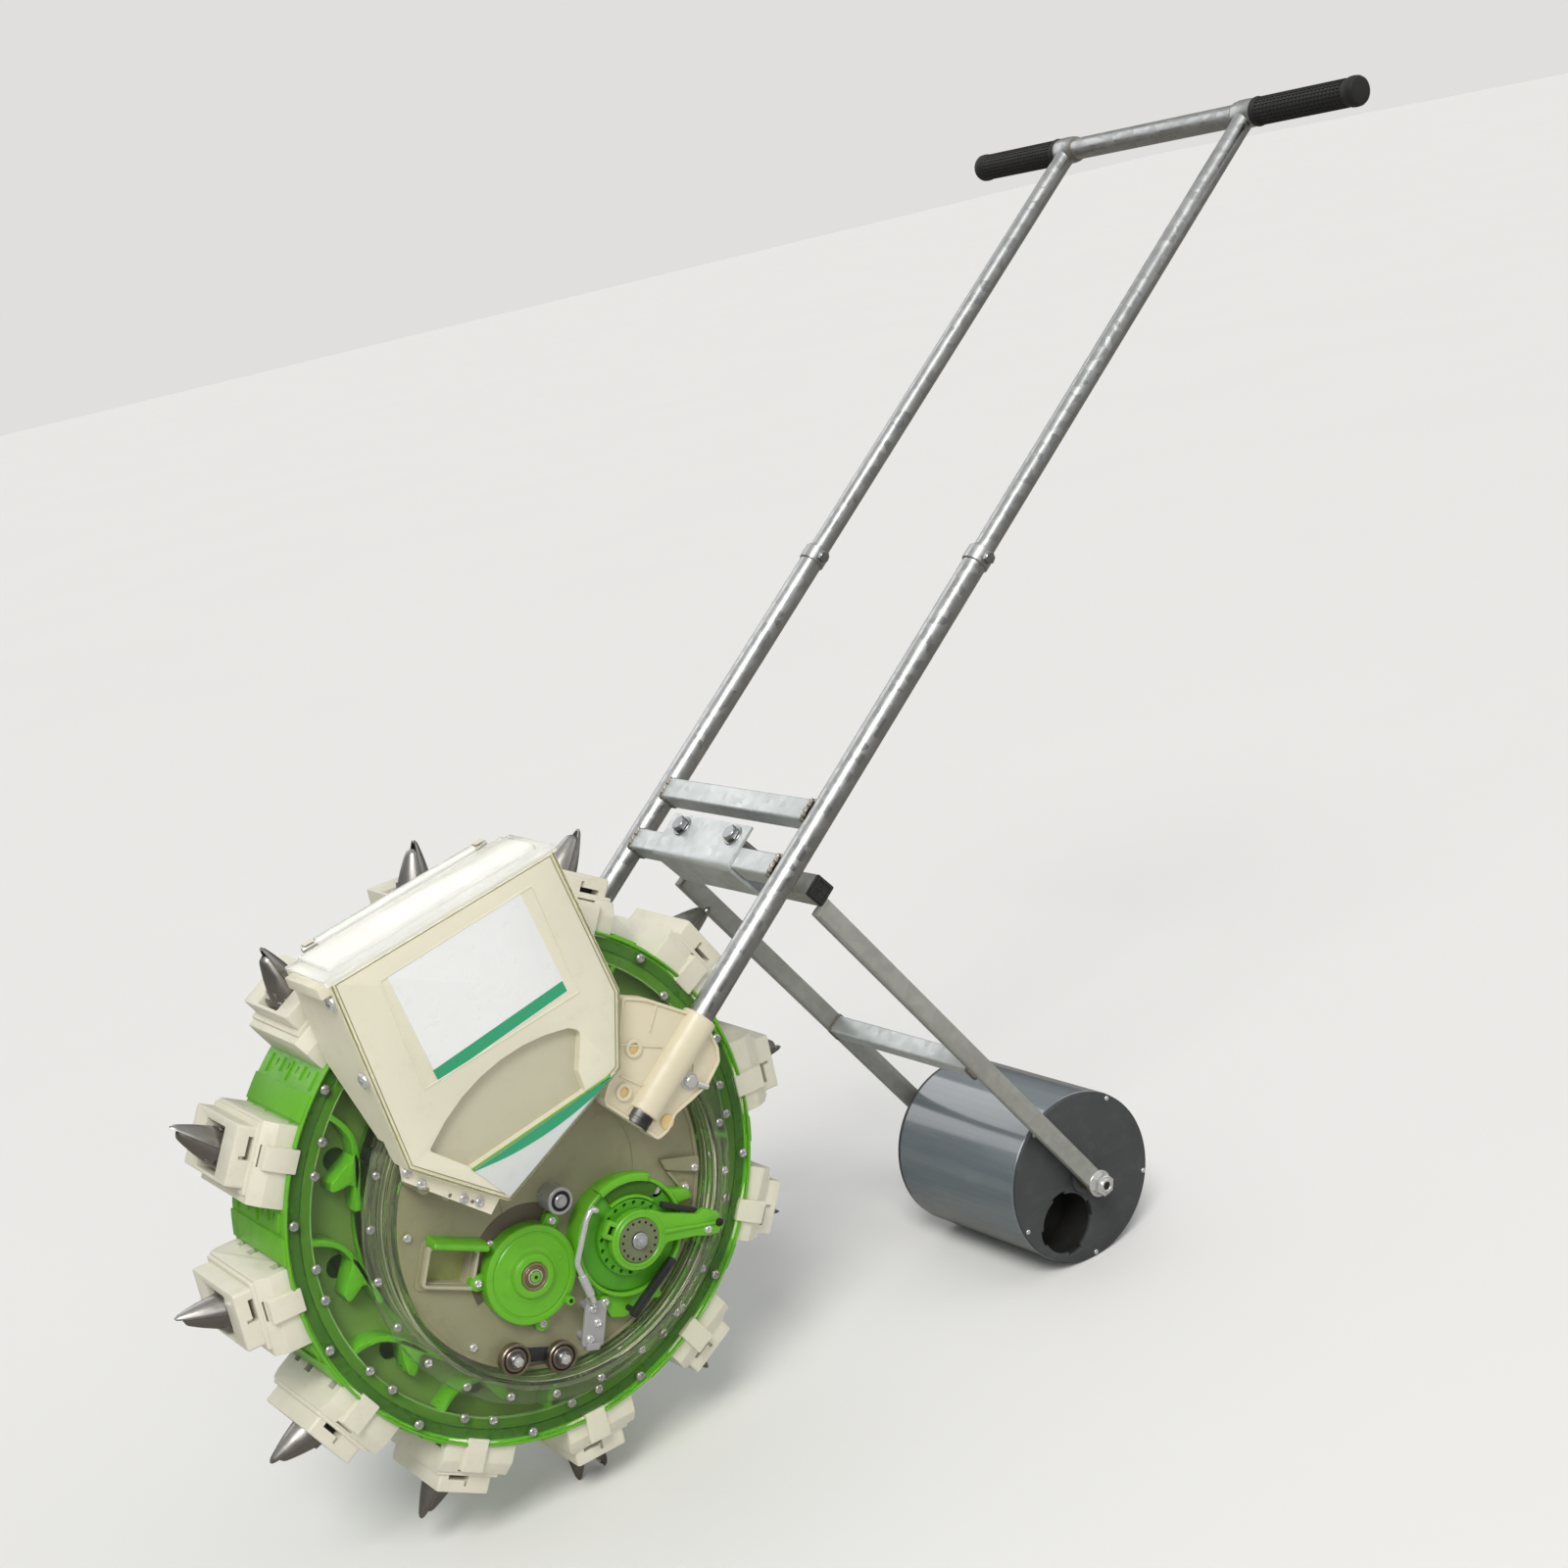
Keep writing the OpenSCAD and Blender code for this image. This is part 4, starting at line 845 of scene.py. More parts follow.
# Dark square in the finger's hole: painted shade.
P.add(prism(rect(off(MC, (-20.5, 16.9)), 6.3, 6.3, 140.3), -107.2, -105.8), 1)
P.add(disc(off(MC, (59, -12)), 5.5, -106, -81.05, 0.4, 24), 0)
P.add(disc(off(MC, (74, -16.5)), 3.4, -113.6, -111, 0.5, 20), 1)
P.add(screw(HEAD_M, off(MC, (62.5, -18)), -112.0, 20), 2)
P.add(prism(fillet(band([(83, -38.4), (112, -56.6)], 5.0), 1.4, 3), -105.4, -100.1, 0.8), 3)
P.build("meter_arm", "core", [GREEN, DARK_HOLLOW_SHADE, STEEL, BLACK], ["metering_arm"], "green_plastic")

P = Part()
P.add(ring(MC, 6.7, 3.0, -114.4, -112.9, 0.3, 32), 0)
P.add(prism([pol(5.0, 60 * i + 12, MC) for i in range(6)], -117.6, -114.2, 0.5), 0)
P.add(disc(MC, 2.9, -119.2, -117.2, 0.6, 24), 0)
P.build("meter_nut", "metering", [ZINC], (), "zinc_steel")

# ------------------------------------------------------------------ brush, its lever and clamp
P = Part()
a, b = off(MC, (30, -31.4)), off(MC, (-18, -61.6))
P.add(prism(fillet(band([a, b], 5.8), 2.4, 4), -107, -100.3, 0.9), 0)
P.add(prism(band([off(a, (-3, -2)), off(b, (3, 1.6))], 1.8), -108.2, -106.6, 0.5), 0)
P.add(pipe([(38, -101, -113), (38, -92.2, -113)], 2.5, 18), 0)
P.build("brush_black", "core", [BLACK], ["brush_bar"], "black_plastic")

P = Part()
line = rounded([(25, -100, -17.2), (25, -108, -17.2), (19.6, -108, -13.4), (13.4, -108, -20.2), (-3.4, -108, -50.5), (0.8, -108, -76), (3, -108, -88), (3, -96.2, -89)], 3.2, 6)
P.add(pipe(line, 2.4, 18), 0)
P.add(pipe([(-1.5, -108, -62), (-0.4, -108, -69), (1.5, -108, -80)], [3.6, 3.7, 3.6], 20), 0)
P.build("brush_lever", "core", [STEEL], ["brush_rod"], "bright_steel")

P = Part()
CL = shift(4, 0, -112) @ turn(68.8)
P.add(prism(fillet([(-17, -9.8), (20, -9.8), (20, 9.8), (-17, 9.8)], 2.5, 4), -96, -93, 0.5), 0, CL)
P.add(prism(fillet([(-20, -6), (-14, -6), (-14, 6), (-20, 6)], 1.0, 2), -97.6, -93, 0.5), 0, CL)
for u, v, a in ((-11, 3.2, 10), (2, -2.5, 60), (13.5, 3.0, 35)):
    P.add(screw(HEAD_M, (u, v), -96, a), 1, CL)
    P.add(disc((u, v), 4.0, -93, -81.05, 0.2, 20), 0, CL)
P.build("brush_clamp", "core", [PLATED, STEEL], ["clamp_plate"], "zinc_steel")

# ------------------------------------------------------------------ window and hood
AT_WIN = shift(WIN[0], 0, WIN[1]) @ turn(-26)
ear = disc(pol(43, 166, IC), 7.2, -120, -70, 0, 32)
P = Part()
fr = xf(prism(fillet(rect((0, 0), 45, 33), 3.5, 4), -88, -81.05, 0.7, [fillet(rect((0, 0), 39.6, 27.6), 2, 3)]), AT_WIN)
P.add(boolean(fr, ear), 0)
P.add(prism(fillet(rect((0, 0), 39.4, 27.4), 2, 3), -81.3, -68, 0, [fillet(rect((0, 0), 37.6, 25.6), 2, 3)]), 0, AT_WIN)
P.add(prism(fillet(rect((0, 0), 39.2, 27.2), 2, 3), -70, -68.2), 1, AT_WIN)
P.build("window_surround", "core", [SURROUND_SHADED_CREAM, OLIVE], ["window_frame"], "cream_plastic")

P = Part()
hood = [(16.4, -81.05), (16.4, -89), (15.6, -94), (16.2, -97.4), (18.4, -98.6), (20.9, -97.4), (22.6, -93.5), (23.4, -88), (23.6, -81.05)]
hm = prism(fillet(hood, [0, 3, 3, 2, 2, 2.5, 4, 5, 0], 3), -23, 25, 1.6, (), 3)
hm = xf(hm, Matrix(((0, 1, 0, 0), (0, 0, 1, 0), (1, 0, 0, 0), (0, 0, 0, 1))))
P.add(hm, 0, AT_WIN)
P.build("window_visor", "core", [GREEN], ["window_hood"], "green_plastic")

# ------------------------------------------------------------------ carrying rollers
RC = 128.7
stud = join(lathe([(0, -92), (2.6, -92), (2.6, -98.6), (5.0, -98.6), (5.6, -98), (5.6, -96.0), (6.5, -95.9), (6.5, -88.1), (5.5, -88), (5.5, -81), (0, -81)], (0, 0), 36, False))
P = Part()
for a in (-122, -103):
    P.both(stud, 0, shift(*[pol(RC, a)[0], 0, pol(RC, a)[1]]))
    P.both(join(prism([pol(4.4, 60 * i + a) for i in range(6)], -100.6, -98.2, 0.5), disc((0, 0), 2.1, -101.8, -100.2, 0.5, 20)), 2, shift(pol(RC, a)[0], 0, pol(RC, a)[1]))
# Black strip between the studs: painted shade along the plate's slot.
P.add(prism(fillet(band([pol(RC, -124.5), pol(RC, -100.5)], 11), 5, 5), -87.4, -84.2, 0.6), 1)
P.build("roller_pins", "core", [BOLT, BLACK, STEEL], ["roller_studs"], "bright_steel")
for nm, node, a, far in (("front_left", "roller_fl", -122, False), ("front_right", "roller_fr", -103, False), ("rear_left", "roller_rl", -122, True), ("rear_right", "roller_rr", -103, True)):
    P = Part()
    c = pol(RC, a)
    outer = lathe([(10.6, -88.3), (10.6, -95.2), (11, -95.7), (12.5, -95.7), (13, -95.2), (13, -88.8), (12.5, -88.3)], c, 56)
    # The ring recessed between the races takes the near-black: painted shade in the gap.
    seal = lathe([(9.3, -88.8), (9.3, -94.0), (10.5, -94.0), (10.5, -88.8)], c, 48)
    inner = lathe([(6.55, -88.3), (6.55, -95.2), (7.0, -95.6), (8.8, -95.6), (9.2, -95.2), (9.2, -88.3)], c, 48)
    for m, i in ((outer, 0), (seal, 1), (inner, 2)):
        P.add(m, i, MIRROR if far else None)
    P.build("carrier_" + nm, "roller_" + nm, [RUST, DARK_HOLLOW_SHADE, RUST], [node], "gear_steel")

P = Part()
for i, (c, y) in enumerate([(pol(44.4, a, IC), -88) for a in (46.8, 166, -88.8)] + [((-123, 18), -82.2), ((-59, -16), -82), ((-94, -90), -81), ((129.3, -29.5), -86), ((117.6, -42.7), -84.6)]):
    P.add(screw(HEAD_M, c, y, 33 * i))
P.add(screw(HEAD_M, off(MC, (33, 26)), -96, 12))
P.add(screw(HEAD_M, off(MC, (-34, -44)), -95, 50))
for i, c in enumerate([(-125.1, 83.8), (-116.5, 70.9), (-87.2, 46.3), (-75.8, 38.7)]):
    P.add(screw(HEAD_L, c, -123, 29 * i))
wall_n = Vector((-0.991, 0, -0.134))
for c in ((-149.9, 227.4), (-141.4, 163.5)):
    Q = wall_n.to_track_quat("-Y", "Z").to_matrix().to_4x4()
    P.add(HEAD_X, 0, shift(c[0] + 3.2, -125.2, c[1]) @ Matrix.Scale(1.3, 4) @ Q)
P.build("core_fasteners", "core", [STEEL], ["plate_screws"], "bright_steel")

# ------------------------------------------------------------------ hopper
arc = [(-108, 97)] + [pol(145, a) for a in (136, 128, 120, 112, 104, 96, 88, 80)] + [(35, 137), (25, 107), (27, 90.5), (-79, 71)]
recess = fillet(arc, [2] + [0] * 8 + [6, 3, 2, 2], 3)
P = Part()
P.add(prism(fillet(HOP, [3, 3, 3, 3, 3, 3], 4), -135, -132.2, 0.7, [recess]), 0)
# Recess floor, coloured darker as painted shade.
P.add(prism(offset(ccw(recess), 1.6), -127.6, -125.6), 5)
P.add(prism(offset(ccw(recess), 2.0), -132.6, -125.8, 0, [recess]), 0)
# Two thin dark outlines just inside the panel's edge: painted shade of the groove along it.
P.add(prism(offset(ccw(HOP), -0.6), -135.25, -134.9, 0, [offset(ccw(HOP), -1.8)]), 6)
P.add(prism(offset(ccw(HOP), -3.8), -135.2, -134.9, 0, [offset(ccw(HOP), -4.5)]), 6)
inner = offset(ccw(HOP), -3.2)
P.add(prism(fillet(HOP, 3, 4), -136.0, -134.6, 0.5, [fillet(inner, 2, 4)]), 1)
quad = [(-112, 233), (25, 259), (42, 166), (-100, 142.5)]
P.add(prism(fillet(quad, 2, 3), -135.7, -134.8, 0.3, [fillet(offset(ccw(quad), -1.4), 1.5, 3)]), 0)
lab = [(-105, 233), (13, 257), (32.6, 170.4), (-86.6, 143.2)]
P.add(prism(fillet(lab, 1.2, 3), -135.35, -134.8, 0.1), 2)
P.add(prism([(-87.2, 144.4), (31.6, 171.1), (29.6, 179.8), (-89.6, 154.0)], -135.55, -135.2), 3)
wedge = [(-79, 69), (49, 92.6), (57, 95.6), (-56, 36.5)]
P.add(prism(fillet(wedge, [1, 1, 1, 1], 2), -136.0, -134.8, 0.2), 7)
P.add(prism([(-79, 68.8), (50, 92.8)] + curve([(50, 92.2), (28, 83.0), (-8, 73.4), (-45, 68.4), (-79, 68.2)], 5), -136.3, -134.9, 0.0), 3)
P.add(prism(band([(-80, 70.2), (50, 94.2)], 1.4), -136.3, -134.9, 0.3), 4)
P.build("hopper_front", "core", [CREAM, COLLAR, LABEL, TRIM, EDGE, RECESS_SHADED_CREAM, SEAM_SHADE, LABEL_LOW], ["hopper_panel"], "cream_plastic")

AT_LID = shift(-149, 0, 245) @ turn(math.degrees(TILT))
P = Part()
P.add(block((-9, -131.9, -10.5), (1.2, -74, -1.0), 1.2), 0, AT_LID)
P.add(block((-8.2, -130.6, -1.6), (0.6, -128.8, 0.2), 0.4), 0, AT_LID)
P.build("hopper_ledge", "core", [CREAM], (), "cream_plastic")

P = Part()
P.add(block((-4, -138, 1.0), (HOP_LEN + 2, -68, 3.6), 1.1), 0, AT_LID)
P.add(block((6, -127, 3.2), (HOP_LEN - 8, -74, 7.9), 1.6), 0, AT_LID)
P.add(block((-4, -138.2, -2.2), (HOP_LEN + 2, -136.6, 2.2), 0.6), 0, AT_LID)
hinge = join(pipe([(28, -62, 5.5), (HOP_LEN - 28, -62, 5.5)], 4, 24, 2.1), block((28, -70, 2), (HOP_LEN - 28, -62, 4.4), 0.6))
P.add(hinge, 0, AT_LID)
P.build("lid_clear", "lid", [LID], ["hopper_lid"], "clear_plastic")

# ------------------------------------------------------------------ handle
SOCK = [(84, 143.8), (104.3, 134.6), (137.4, 110.7), (152.5, 92.3), (157.5, 72.6), (155.8, 60.5), (140.4, 46.2), (122, 39.5), (106, 34.8), (96.4, 24.6), (85.1, 20.5), (76.8, 31.6), (47.4, 66.4), (47.7, 72.5), (58, 88), (69, 105), (76, 124)]
P = Part()
so = fillet(SOCK, [3, 8, 8, 8, 8, 8, 6, 6, 6, 6, 6, 3, 3, 2, 2, 2, 2], 4)
plate = prism(so, -119, -105.6, 1.4)
lip = prism(so, -120.8, -118, 0.8, [offset(ccw(so), -2.6)])
sleeve = xf(pipe([(3, -TUBE_Y, 0), (4, -TUBE_Y, 0), (91, -TUBE_Y, 0), (92, -TUBE_Y, 0)], [13.6, 14.4, 14.4, 13.6], 40, 10.6), ON_TUBE)
foot = prism(fillet([(88, 104), (100, 100), (128, 52), (116, 40.5), (100, 32), (84, 46)], 3, 3), -107, -81.05, 1.0)
ribs = join(*[prism(band([a, b], 1.8), -120.3, -117, 0.5) for a, b in (((112, 127), (100, 108)), ((72, 108), (108, 92)), ((66, 84), (84, 68)), ((128, 50), (136, 84)))])
for m in (plate, lip, sleeve, foot, ribs):
    P.both(m, 0)
P.both(ring((83, 100.6), 7.5, 4.4, -121.5, -117, 0.5), 0)
P.both(disc((83, 100.6), 4.4, -119.6, -117, 0.4), 1)
P.both(ring((65.7, 70.4), 7.2, 4.2, -121.8, -117, 0.5), 0)
P.both(disc((65.7, 70.4), 4.2, -119.8, -117, 0.4), 1)
P.both(disc((97, 32), 6.0, -120.6, -117, 0.6), 1)
P.both(xf(hex_head(5.6, 4.0, 7.6), shift(124.6, -119, 56)), 2)
P.both(pipe([(130, -121.5, 52), (138, -122.5, 46)], 2.4, 16), 2)
P.build("handle_sockets", "core", [SOCKET, YELLOWED, STEEL], ["sockets"], "cream_plastic")

P = Part()
P.both(xf(pipe([(-8, -TUBE_Y, 0), (-7.4, -TUBE_Y, 0), (554.4, -TUBE_Y, 0), (555, -TUBE_Y, 0)], [10.0, 10.5, 10.5, 10.1], 40, 9.06), ON_TUBE), 0)
# Dark core in the tube's open end: painted shade inside the tube.
P.both(xf(pipe([(-6.8, -TUBE_Y, 0), (-6.2, -TUBE_Y, 0), (2, -TUBE_Y, 0)], [8.2, 9.0, 9.0], 36), ON_TUBE), 1)
P.both(xf(pipe([(-7.9, -TUBE_Y, 0), (-7.4, -TUBE_Y, 0), (-4.6, -TUBE_Y, 0), (-4.2, -TUBE_Y, 0), (-2.6, -TUBE_Y, 0), (-2.2, -TUBE_Y, 0), (2.6, -TUBE_Y, 0)], [10.4, 10.9, 10.9, 10.65, 10.65, 10.9, 10.9], 40, 10.5), ON_TUBE), 2)
P.build("tubes_lower", "core", [GALV, DARK_HOLLOW_SHADE, ENDS], ["lower_tubes"], "galvanised_steel")

P = Part()
P.both(xf(pipe([(440, -TUBE_Y, 0), (700, -TUBE_Y, 0), (1018, -TUBE_Y, 0), (1030, -TUBE_Y, 0)], [9, 9, 9, 9.4], 36, 7.5), ON_TUBE), 0)
bar = along(1036)
wrap = lathe([(10.05, -TUBE_Y - 10), (11.6, -TUBE_Y - 10.4), (12.4, -TUBE_Y - 7), (12.6, -TUBE_Y), (12.4, -TUBE_Y + 7), (11.6, -TUBE_Y + 10.4), (10.05, -TUBE_Y + 10)], bar, 40)
P.both(wrap, 0)
bead = lathe([(10.0, -TUBE_Y - 12.2), (11.4, -TUBE_Y - 12.0), (11.8, -TUBE_Y - 10.8), (11.2, -TUBE_Y - 9.8), (10.0, -TUBE_Y - 9.8)], bar, 40)
P.both(bead, 1)
P.both(xf(bead, shift(0, 2 * -TUBE_Y, 0) @ MIRROR), 1)
P.build("tubes_upper", "handle_top", [GALV, WELD], ["upper_tubes"], "galvanised_steel")

P = Part()
for q in (-1, 1):
    P.add(xf(pipe([(539, q * TUBE_Y, 0), (539.7, q * TUBE_Y, 0), (552.3, q * TUBE_Y, 0), (553, q * TUBE_Y, 0)], [11.2, 11.9, 11.9, 11.2], 40, 10.55), ON_TUBE), 0)
    P.add(xf(disc((546, 0), 6.0, q * TUBE_Y - 12.6, q * TUBE_Y - 10.6, 0.4, 32), ON_TUBE), 0)
    P.add(xf(hex_head(5.4, 4.0), ON_TUBE @ shift(546, q * TUBE_Y - 12.4, 0) @ turn(14)), 1)
P.build("clamps", "core", [GALV, BOLT], ["tube_clamps"], "zinc_steel")

P = Part()
P.add(pipe([(bar[0], -241.6, bar[1]), (bar[0], 0, bar[1]), (bar[0], 241.6, bar[1])], 10, 40, 8.5))
P.build("hand_bar", "handle_top", [GALV], ["handlebar"], "galvanised_steel")

P = Part()
prof = [(10.05, -128), (12.0, -128), (12.7, -128.6), (13, -130), (12.7, -131.6), (12.0, -132.6), (11.5, -134)]
y = -137.0
while y > -228:
    prof += [(11.3, y), (11.8, y - 0.7), (11.8, y - 2.3), (11.3, y - 3.0)]
    y -= 4.2
prof += [(11.5, -232), (12.1, -234), (12.8, -236), (13, -239), (12.7, -242.5), (11.6, -244.6), (10.4, -245), (0, -245), (0, -241.8), (10.05, -241.8)]
gm = lathe(prof, bar, 48)
P.both(gm, 0)
for k in range(24):
    P.both(block((11.2, -231, -0.45), (12.2, -133.6, 0.45), 0.25), 0, shift(bar[0], 0, bar[1]) @ turn(15 * k))
P.build("hand_grips", "handle_top", [GRIP], ["grips"], "grip_rubber")


def square_tube(lo, hi, half, r=2.2, wall=1.8):
    """A square tube along y."""
    return prism(fillet([(-half, -half), (half, -half), (half, half), (-half, half)], r, 4), lo, hi, 0.3, [fillet([(wall - half, wall - half), (half - wall, wall - half), (half - wall, half - wall), (wall - half, half - wall)], 1.2, 3)])


def weld_loop(half, y, r=2.0):
    """An uneven bead round a square tube."""
    P4 = fillet([(-half, -half), (half, -half), (half, half), (-half, half)], 3, 4)
    pts, rs = [], []
    n = len(P4)
    for i in range(n):
        a, b = P4[i], P4[(i + 1) % n]
        m = max(1, int(math.hypot(b[0] - a[0], b[1] - a[1]) / 1.6))
        for k in range(m):
            t = k / m
            pts.append((a[0] + (b[0] - a[0]) * t, y + 0.5 * math.sin(7.3 * len(pts)), a[1] + (b[1] - a[1]) * t))
            rs.append(r * (1 + 0.22 * math.sin(2.1 * len(pts))))
    return pipe(pts + [pts[0]], rs + [rs[0]], 10)


P = Part()
for s in (284, 230):
    M = ON_TUBE @ shift(s, 0, 0)
    P.add(square_tube(-107, 107, 10), 0, M)
    for q in (-1, 1):
        P.add(weld_loop(9.6, q * 107.2), 1, M)
P.build("crossbars_welded", "core", [FLAT, WELD], ["crossbars"], "galvanised_steel")

P = Part()
path = fillet([(258.5, 11.6), (218.0, 11.6), (218.0, -32.4), (258.5, -32.4)], [0, 5, 5, 0], 6)
sheet = prism(band(path, 3.0), -55, 63, 0.5)
P.add(boolean(sheet, join(*[xf(pipe([(247, y, -60), (247, y, 60)], 4.2, 24), Matrix.Identity(4)) for y in (-38, 40)])), 0, ON_TUBE)
P.build("bracket_folded", "core", [FLAT], ["clamp_bracket"], "galvanised_steel")

P = Part()
UP = Matrix(((1, 0, 0, 0), (0, 0, 1, 0), (0, -1, 0, 0), (0, 0, 0, 1)))
for y in (-38, 40):
    P.add(xf(hex_head(7.4, 5.4, 9.4), ON_TUBE @ shift(247, y, 13.1) @ UP), 0)
    P.add(pipe([(247, y, -30), (247, y, 13)], 3.9, 20), 0, ON_TUBE)
    P.add(xf(hex_head(7, 5), ON_TUBE @ shift(247, y, -25.9) @ UP), 0)
P.build("bracket_fixings", "core", [BOLT], ["bracket_bolts"], "bright_steel")

# ------------------------------------------------------------------ press roller and its frame
top = along(228.5, -54)
arm_v = (PRESS[0] - top[0], PRESS[1] - top[1])
arm_len = math.hypot(*arm_v)
arm_a = math.degrees(math.atan2(arm_v[1], arm_v[0]))
P = Part()
P.add(square_tube(-103.5, 103.5, 10), 0, ON_TUBE @ shift(239, 0, -44))
AT_ARM = shift(top[0], 0, top[1]) @ turn(arm_a)
a_out = fillet([(-1.4, -9), (arm_len + 2, -9), (arm_len + 9, -5), (arm_len + 9, 5), (arm_len + 2, 9), (-1.4, 9)], [1, 3, 4, 4, 3, 1], 4)
P.both(xf(prism(a_out, -109, -101, 1.4, [circle((arm_len, 0), 6.1, 24)]), AT_ARM), 0)
bx = arm_len * 0.535
P.add(prism(fillet([(bx, -10), (bx + 14, -10), (bx + 14, 8), (bx, 8)], 2.0, 4), -101.4, 101.4, 0.3), 2, AT_ARM)
for q in (-1, 1):
    P.add(xf(pipe([(0.4, q * 101.2, v) for v in (-8, -4, 0, 4, 8)], [1.5, 1.9, 1.6, 2.0, 1.5], 12), AT_ARM), 1)
    loop = prism(fillet([(bx - 1.5, -11.5), (bx + 15.5, -11.5), (bx + 15.5, 9.5), (bx - 1.5, 9.5)], 3, 4), q * 100.2 - 1.4, q * 100.2 + 1.4, 0.9, [fillet([(bx + 0.5, -9), (bx + 13.5, -9), (bx + 13.5, 7), (bx + 0.5, 7)], 2, 3)])
    P.add(loop, 1, AT_ARM)
P.build("press_frame_welded", "core", [ARMS, WELD, FLAT], ["press_frame"], "galvanised_steel")

P = Part()
AT_X = ON_TUBE @ shift(239, 0, -44)
plug = join(prism(fillet(rect((0, 0), 20, 20), 1.6, 3), -106.5, -103.6, 0.7), prism(fillet(rect((0, 0), 17.6, 17.6), 1.4, 3), -107.6, -106.2, 0.4, [fillet(rect((0, 0), 13.6, 13.6), 1.2, 3)]),
            block((-6.9, -107.3, -0.8), (6.9, -106.2, 0.8), 0.3), block((-0.8, -107.3, -6.9), (0.8, -106.2, 6.9), 0.3), block((-7.8, -103.8, -7.8), (7.8, -91.7, 7.8), 0.6))
P.both(xf(plug, AT_X), 0)
P.build("tube_plugs", "core", [BLACK], ["end_plugs"], "black_plastic")

P = Part()
P.add(pipe([(PRESS[0], -112, PRESS[1]), (PRESS[0], 112, PRESS[1])], 5.95, 32), 0)
P.both(xf(hex_head(10.3, 7.6, 12.4), shift(PRESS[0], -109.05, PRESS[1]) @ turn(12)), 0)
P.both(ring(PRESS, 6.4, 3.8, -119.6, -117.6, 0.5, 32), 0)
# Dark disc in the hollow axle end: painted shade.
P.both(disc(PRESS, 3.8, -118.7, -117.6, 0.3, 24), 2)
P.both(ring(PRESS, 9.0, 6.0, -100.9, -91.3, 0.6, 40), 3)
P.build("axle_bolts", "core", [STEEL, ZINC, DARK_HOLLOW_SHADE, BRASS], ["press_axle"], "bright_steel")

P = Part()
P.add(lathe([(76, -81.9), (79.2, -81.9), (80, -81.2), (80, 81.2), (79.2, 81.9), (76, 81.9)], PRESS, 128))
P.build("roller_pipe", "press", [PVC], ["press_roller"], "grey_pvc")

FILL = off(PRESS, (-26.5, -35))
notch = [pol(r, a0 + a, FILL) for a0 in (-8, 82, 172, 262) for r, a in [(30.9, t) for t in range(0, 31, 5)] + [(28.2, t) for t in range(30, 91, 5)]]
P = Part()
face = prism(circle(PRESS, 79.4, 120), -86, -82.05, 0.9, [circle(PRESS, 6.1, 24), notch])
P.add(face, 0)
P.add(prism(circle(PRESS, 79.4, 120), 82.05, 86, 0.9, [circle(PRESS, 6.1, 24)]), 0)
P.both(ring(PRESS, 14, 6.1, -91, -74, 0.8), 0)
for k in range(5):
    P.both(screw(HEAD_T, pol(75.9, 72 * k + 54, PRESS), -86, 31 * k), 2)
# Dark floor and wall of the fill hole: painted shade inside it.
P.add(disc(FILL, 30, -48, -46, 0.2, 56), 3)
P.add(lathe([(28.7, -47), (28.7, -82.2), (31.2, -82.2), (31.2, -47)], FILL, 64), 3)
P.build("roller_ends", "press", [CHARCOAL, BLACK, STEEL, DARK_HOLLOW_SHADE], ["press_caps"], "cap_plastic")

# ------------------------------------------------------------------ CAD pieces that stay: finish and broken edges
for node, mt, w in (("stay_posts", ZINC, 0.0003), ("hopper_tub", CREAM, 0.0008), ("lid_pin", STEEL, 0.0003), ("idler_gear", GEARS, 0.0002), ("metering_gear", GEARS, 0.0002), ("ring_gear", GEARS, 0.0002)):
    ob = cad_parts[node]
    ob.data.materials.clear()
    ob.data.materials.append(mt)
    wd = ob.modifiers.new("weld", "WELD")
    wd.merge_threshold = 0.00002
    bv = ob.modifiers.new("bevel", "BEVEL")
    bv.width = w
    bv.segments = 2
    bv.limit_method = "ANGLE"
    bv.angle_limit = math.radians(32)

# ------------------------------------------------------------------ stage
fm = Nodes("floor")
fp = fm.new("ShaderNodeBsdfPrincipled")
pale = fm.mix(fm.ramp(fm.noise(1.3, 4.0), 0.3, 0.7), (0.815, 0.81, 0.80), (0.825, 0.82, 0.81))
# The floor turns dark to glossy rays only: a painted dark reflection in the shiny parts.
glossy_ray_dark_reflection = fm.new("ShaderNodeLightPath")
fm.link(fm.mix(glossy_ray_dark_reflection.outputs["Is Glossy Ray"], pale, (0.26, 0.245, 0.22)), fp.inputs["Base Color"])
fp.inputs["Roughness"].default_value = 0.8
fp.inputs["Specular IOR Level"].default_value = 0.0
fm.link(fp.outputs[0], fm.out.inputs["Surface"])
me = bpy.data.meshes.new("floor")
me.from_pydata([(-30, -30, 0), (30, -30, 0), (30, 30, 0), (-30, 30, 0)], [], [(0, 1, 2, 3)])
me.materials.append(fm.mat)
floor = bpy.data.objects.new("floor", me)
bpy.context.scene.collection.objects.link(floor)

world = bpy.data.worlds.new("studio")
world.use_nodes = True
wt = world.node_tree
wt.nodes.clear()
sky = wt.nodes.new("ShaderNodeTexCoord")
sep = wt.nodes.new("ShaderNodeSeparateXYZ")
wt.links.new(sky.outputs["Generated"], sep.inputs[0])
grad = wt.nodes.new("ShaderNodeValToRGB")
for pos, v in ((0.0, 0.10), (0.12, 0.22), (0.35, 0.75), (1.0, 1.0)):
    e = grad.color_ramp.elements[0] if pos == 0.0 else grad.color_ramp.elements[1] if pos == 1.0 else grad.color_ramp.elements.new(pos)
    e.position = pos
    e.color = (v * 0.985, v * 0.995, v, 1)
wt.links.new(sep.outputs["Z"], grad.inputs["Fac"])
lit = wt.nodes.new("ShaderNodeBackground")
lit.inputs["Strength"].default_value = 0.72
wt.links.new(grad.outputs["Color"], lit.inputs["Color"])
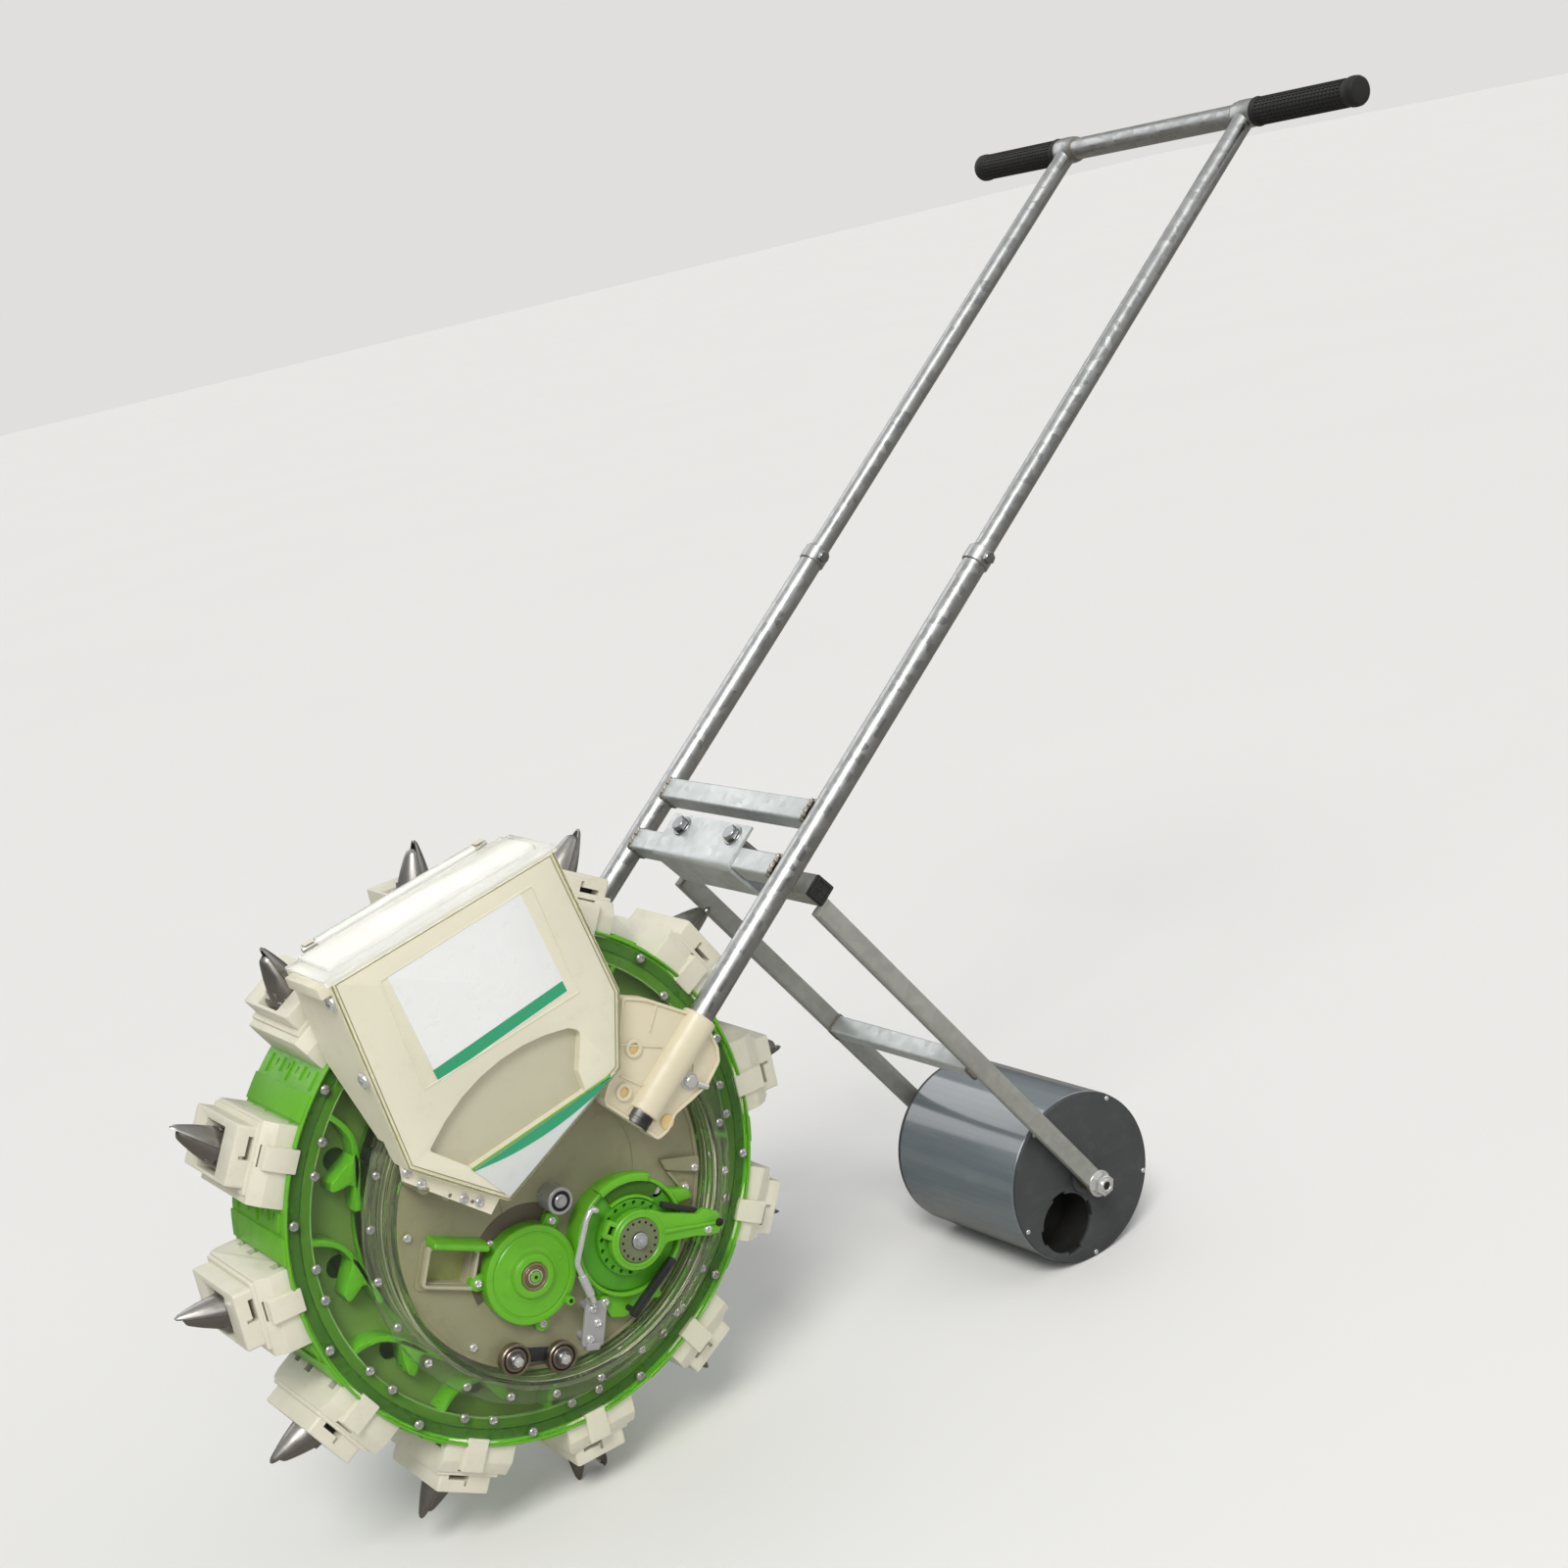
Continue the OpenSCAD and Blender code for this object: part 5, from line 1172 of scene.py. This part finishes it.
seen = wt.nodes.new("ShaderNodeBackground")
seen.inputs["Color"].default_value = (0.745, 0.738, 0.726, 1)
ray = wt.nodes.new("ShaderNodeLightPath")
pick = wt.nodes.new("ShaderNodeMixShader")
wt.links.new(ray.outputs["Is Camera Ray"], pick.inputs[0])
wt.links.new(lit.outputs[0], pick.inputs[1])
wt.links.new(seen.outputs[0], pick.inputs[2])
wo = wt.nodes.new("ShaderNodeOutputWorld")
wt.links.new(pick.outputs[0], wo.inputs["Surface"])
bpy.context.scene.world = world


def sun(name, toward, power, angle, col=(1, 1, 1)):
    d = bpy.data.lights.new(name, "SUN")
    d.energy = power
    d.angle = math.radians(angle)
    d.color = col
    o = bpy.data.objects.new(name, d)
    o.rotation_euler = Vector(toward).to_track_quat("-Z", "Y").to_euler()
    bpy.context.scene.collection.objects.link(o)


def area(name, loc, target, size, power, col=(1, 1, 1)):
    d = bpy.data.lights.new(name, "AREA")
    d.shape = "DISK"
    d.size = size
    d.energy = power
    d.color = col
    o = bpy.data.objects.new(name, d)
    o.location = loc
    o.rotation_euler = (Vector(target) - Vector(loc)).to_track_quat("-Z", "Y").to_euler()
    bpy.context.scene.collection.objects.link(o)
    return o


sun("key", (0.55, 0.72, -1.0), 1.9, 22, (1, 0.985, 0.955))
sun("fill", (-0.9, 0.7, -0.45), 0.35, 50)
area("front", (-1.2, -2.6, 1.5), (-0.2, 0, 0.3), 1.1, 10)
card = area("back_card", (-0.35, 2.7, 2.1), (0.1, 0, 0.4), 3.0, 24)
card.visible_diffuse = False
card.visible_camera = False

cam = bpy.data.cameras.new("camera")
cam.sensor_width = 36
cam.lens = 53.708
cam.shift_x = 0.0486
cam.shift_y = 0.0523
co = bpy.data.objects.new("camera", cam)
co.matrix_world = Matrix(((0.80905965, 0.32369224, -0.49055664, -1.027016), (-0.54787504, 0.11326214, -0.82885742, -1.641200), (-0.21273322, 0.93935884, 0.26897872, 0.997000), (0, 0, 0, 1)))
bpy.context.scene.collection.objects.link(co)
bpy.context.scene.camera = co
bpy.context.scene.view_settings.view_transform = "Standard"
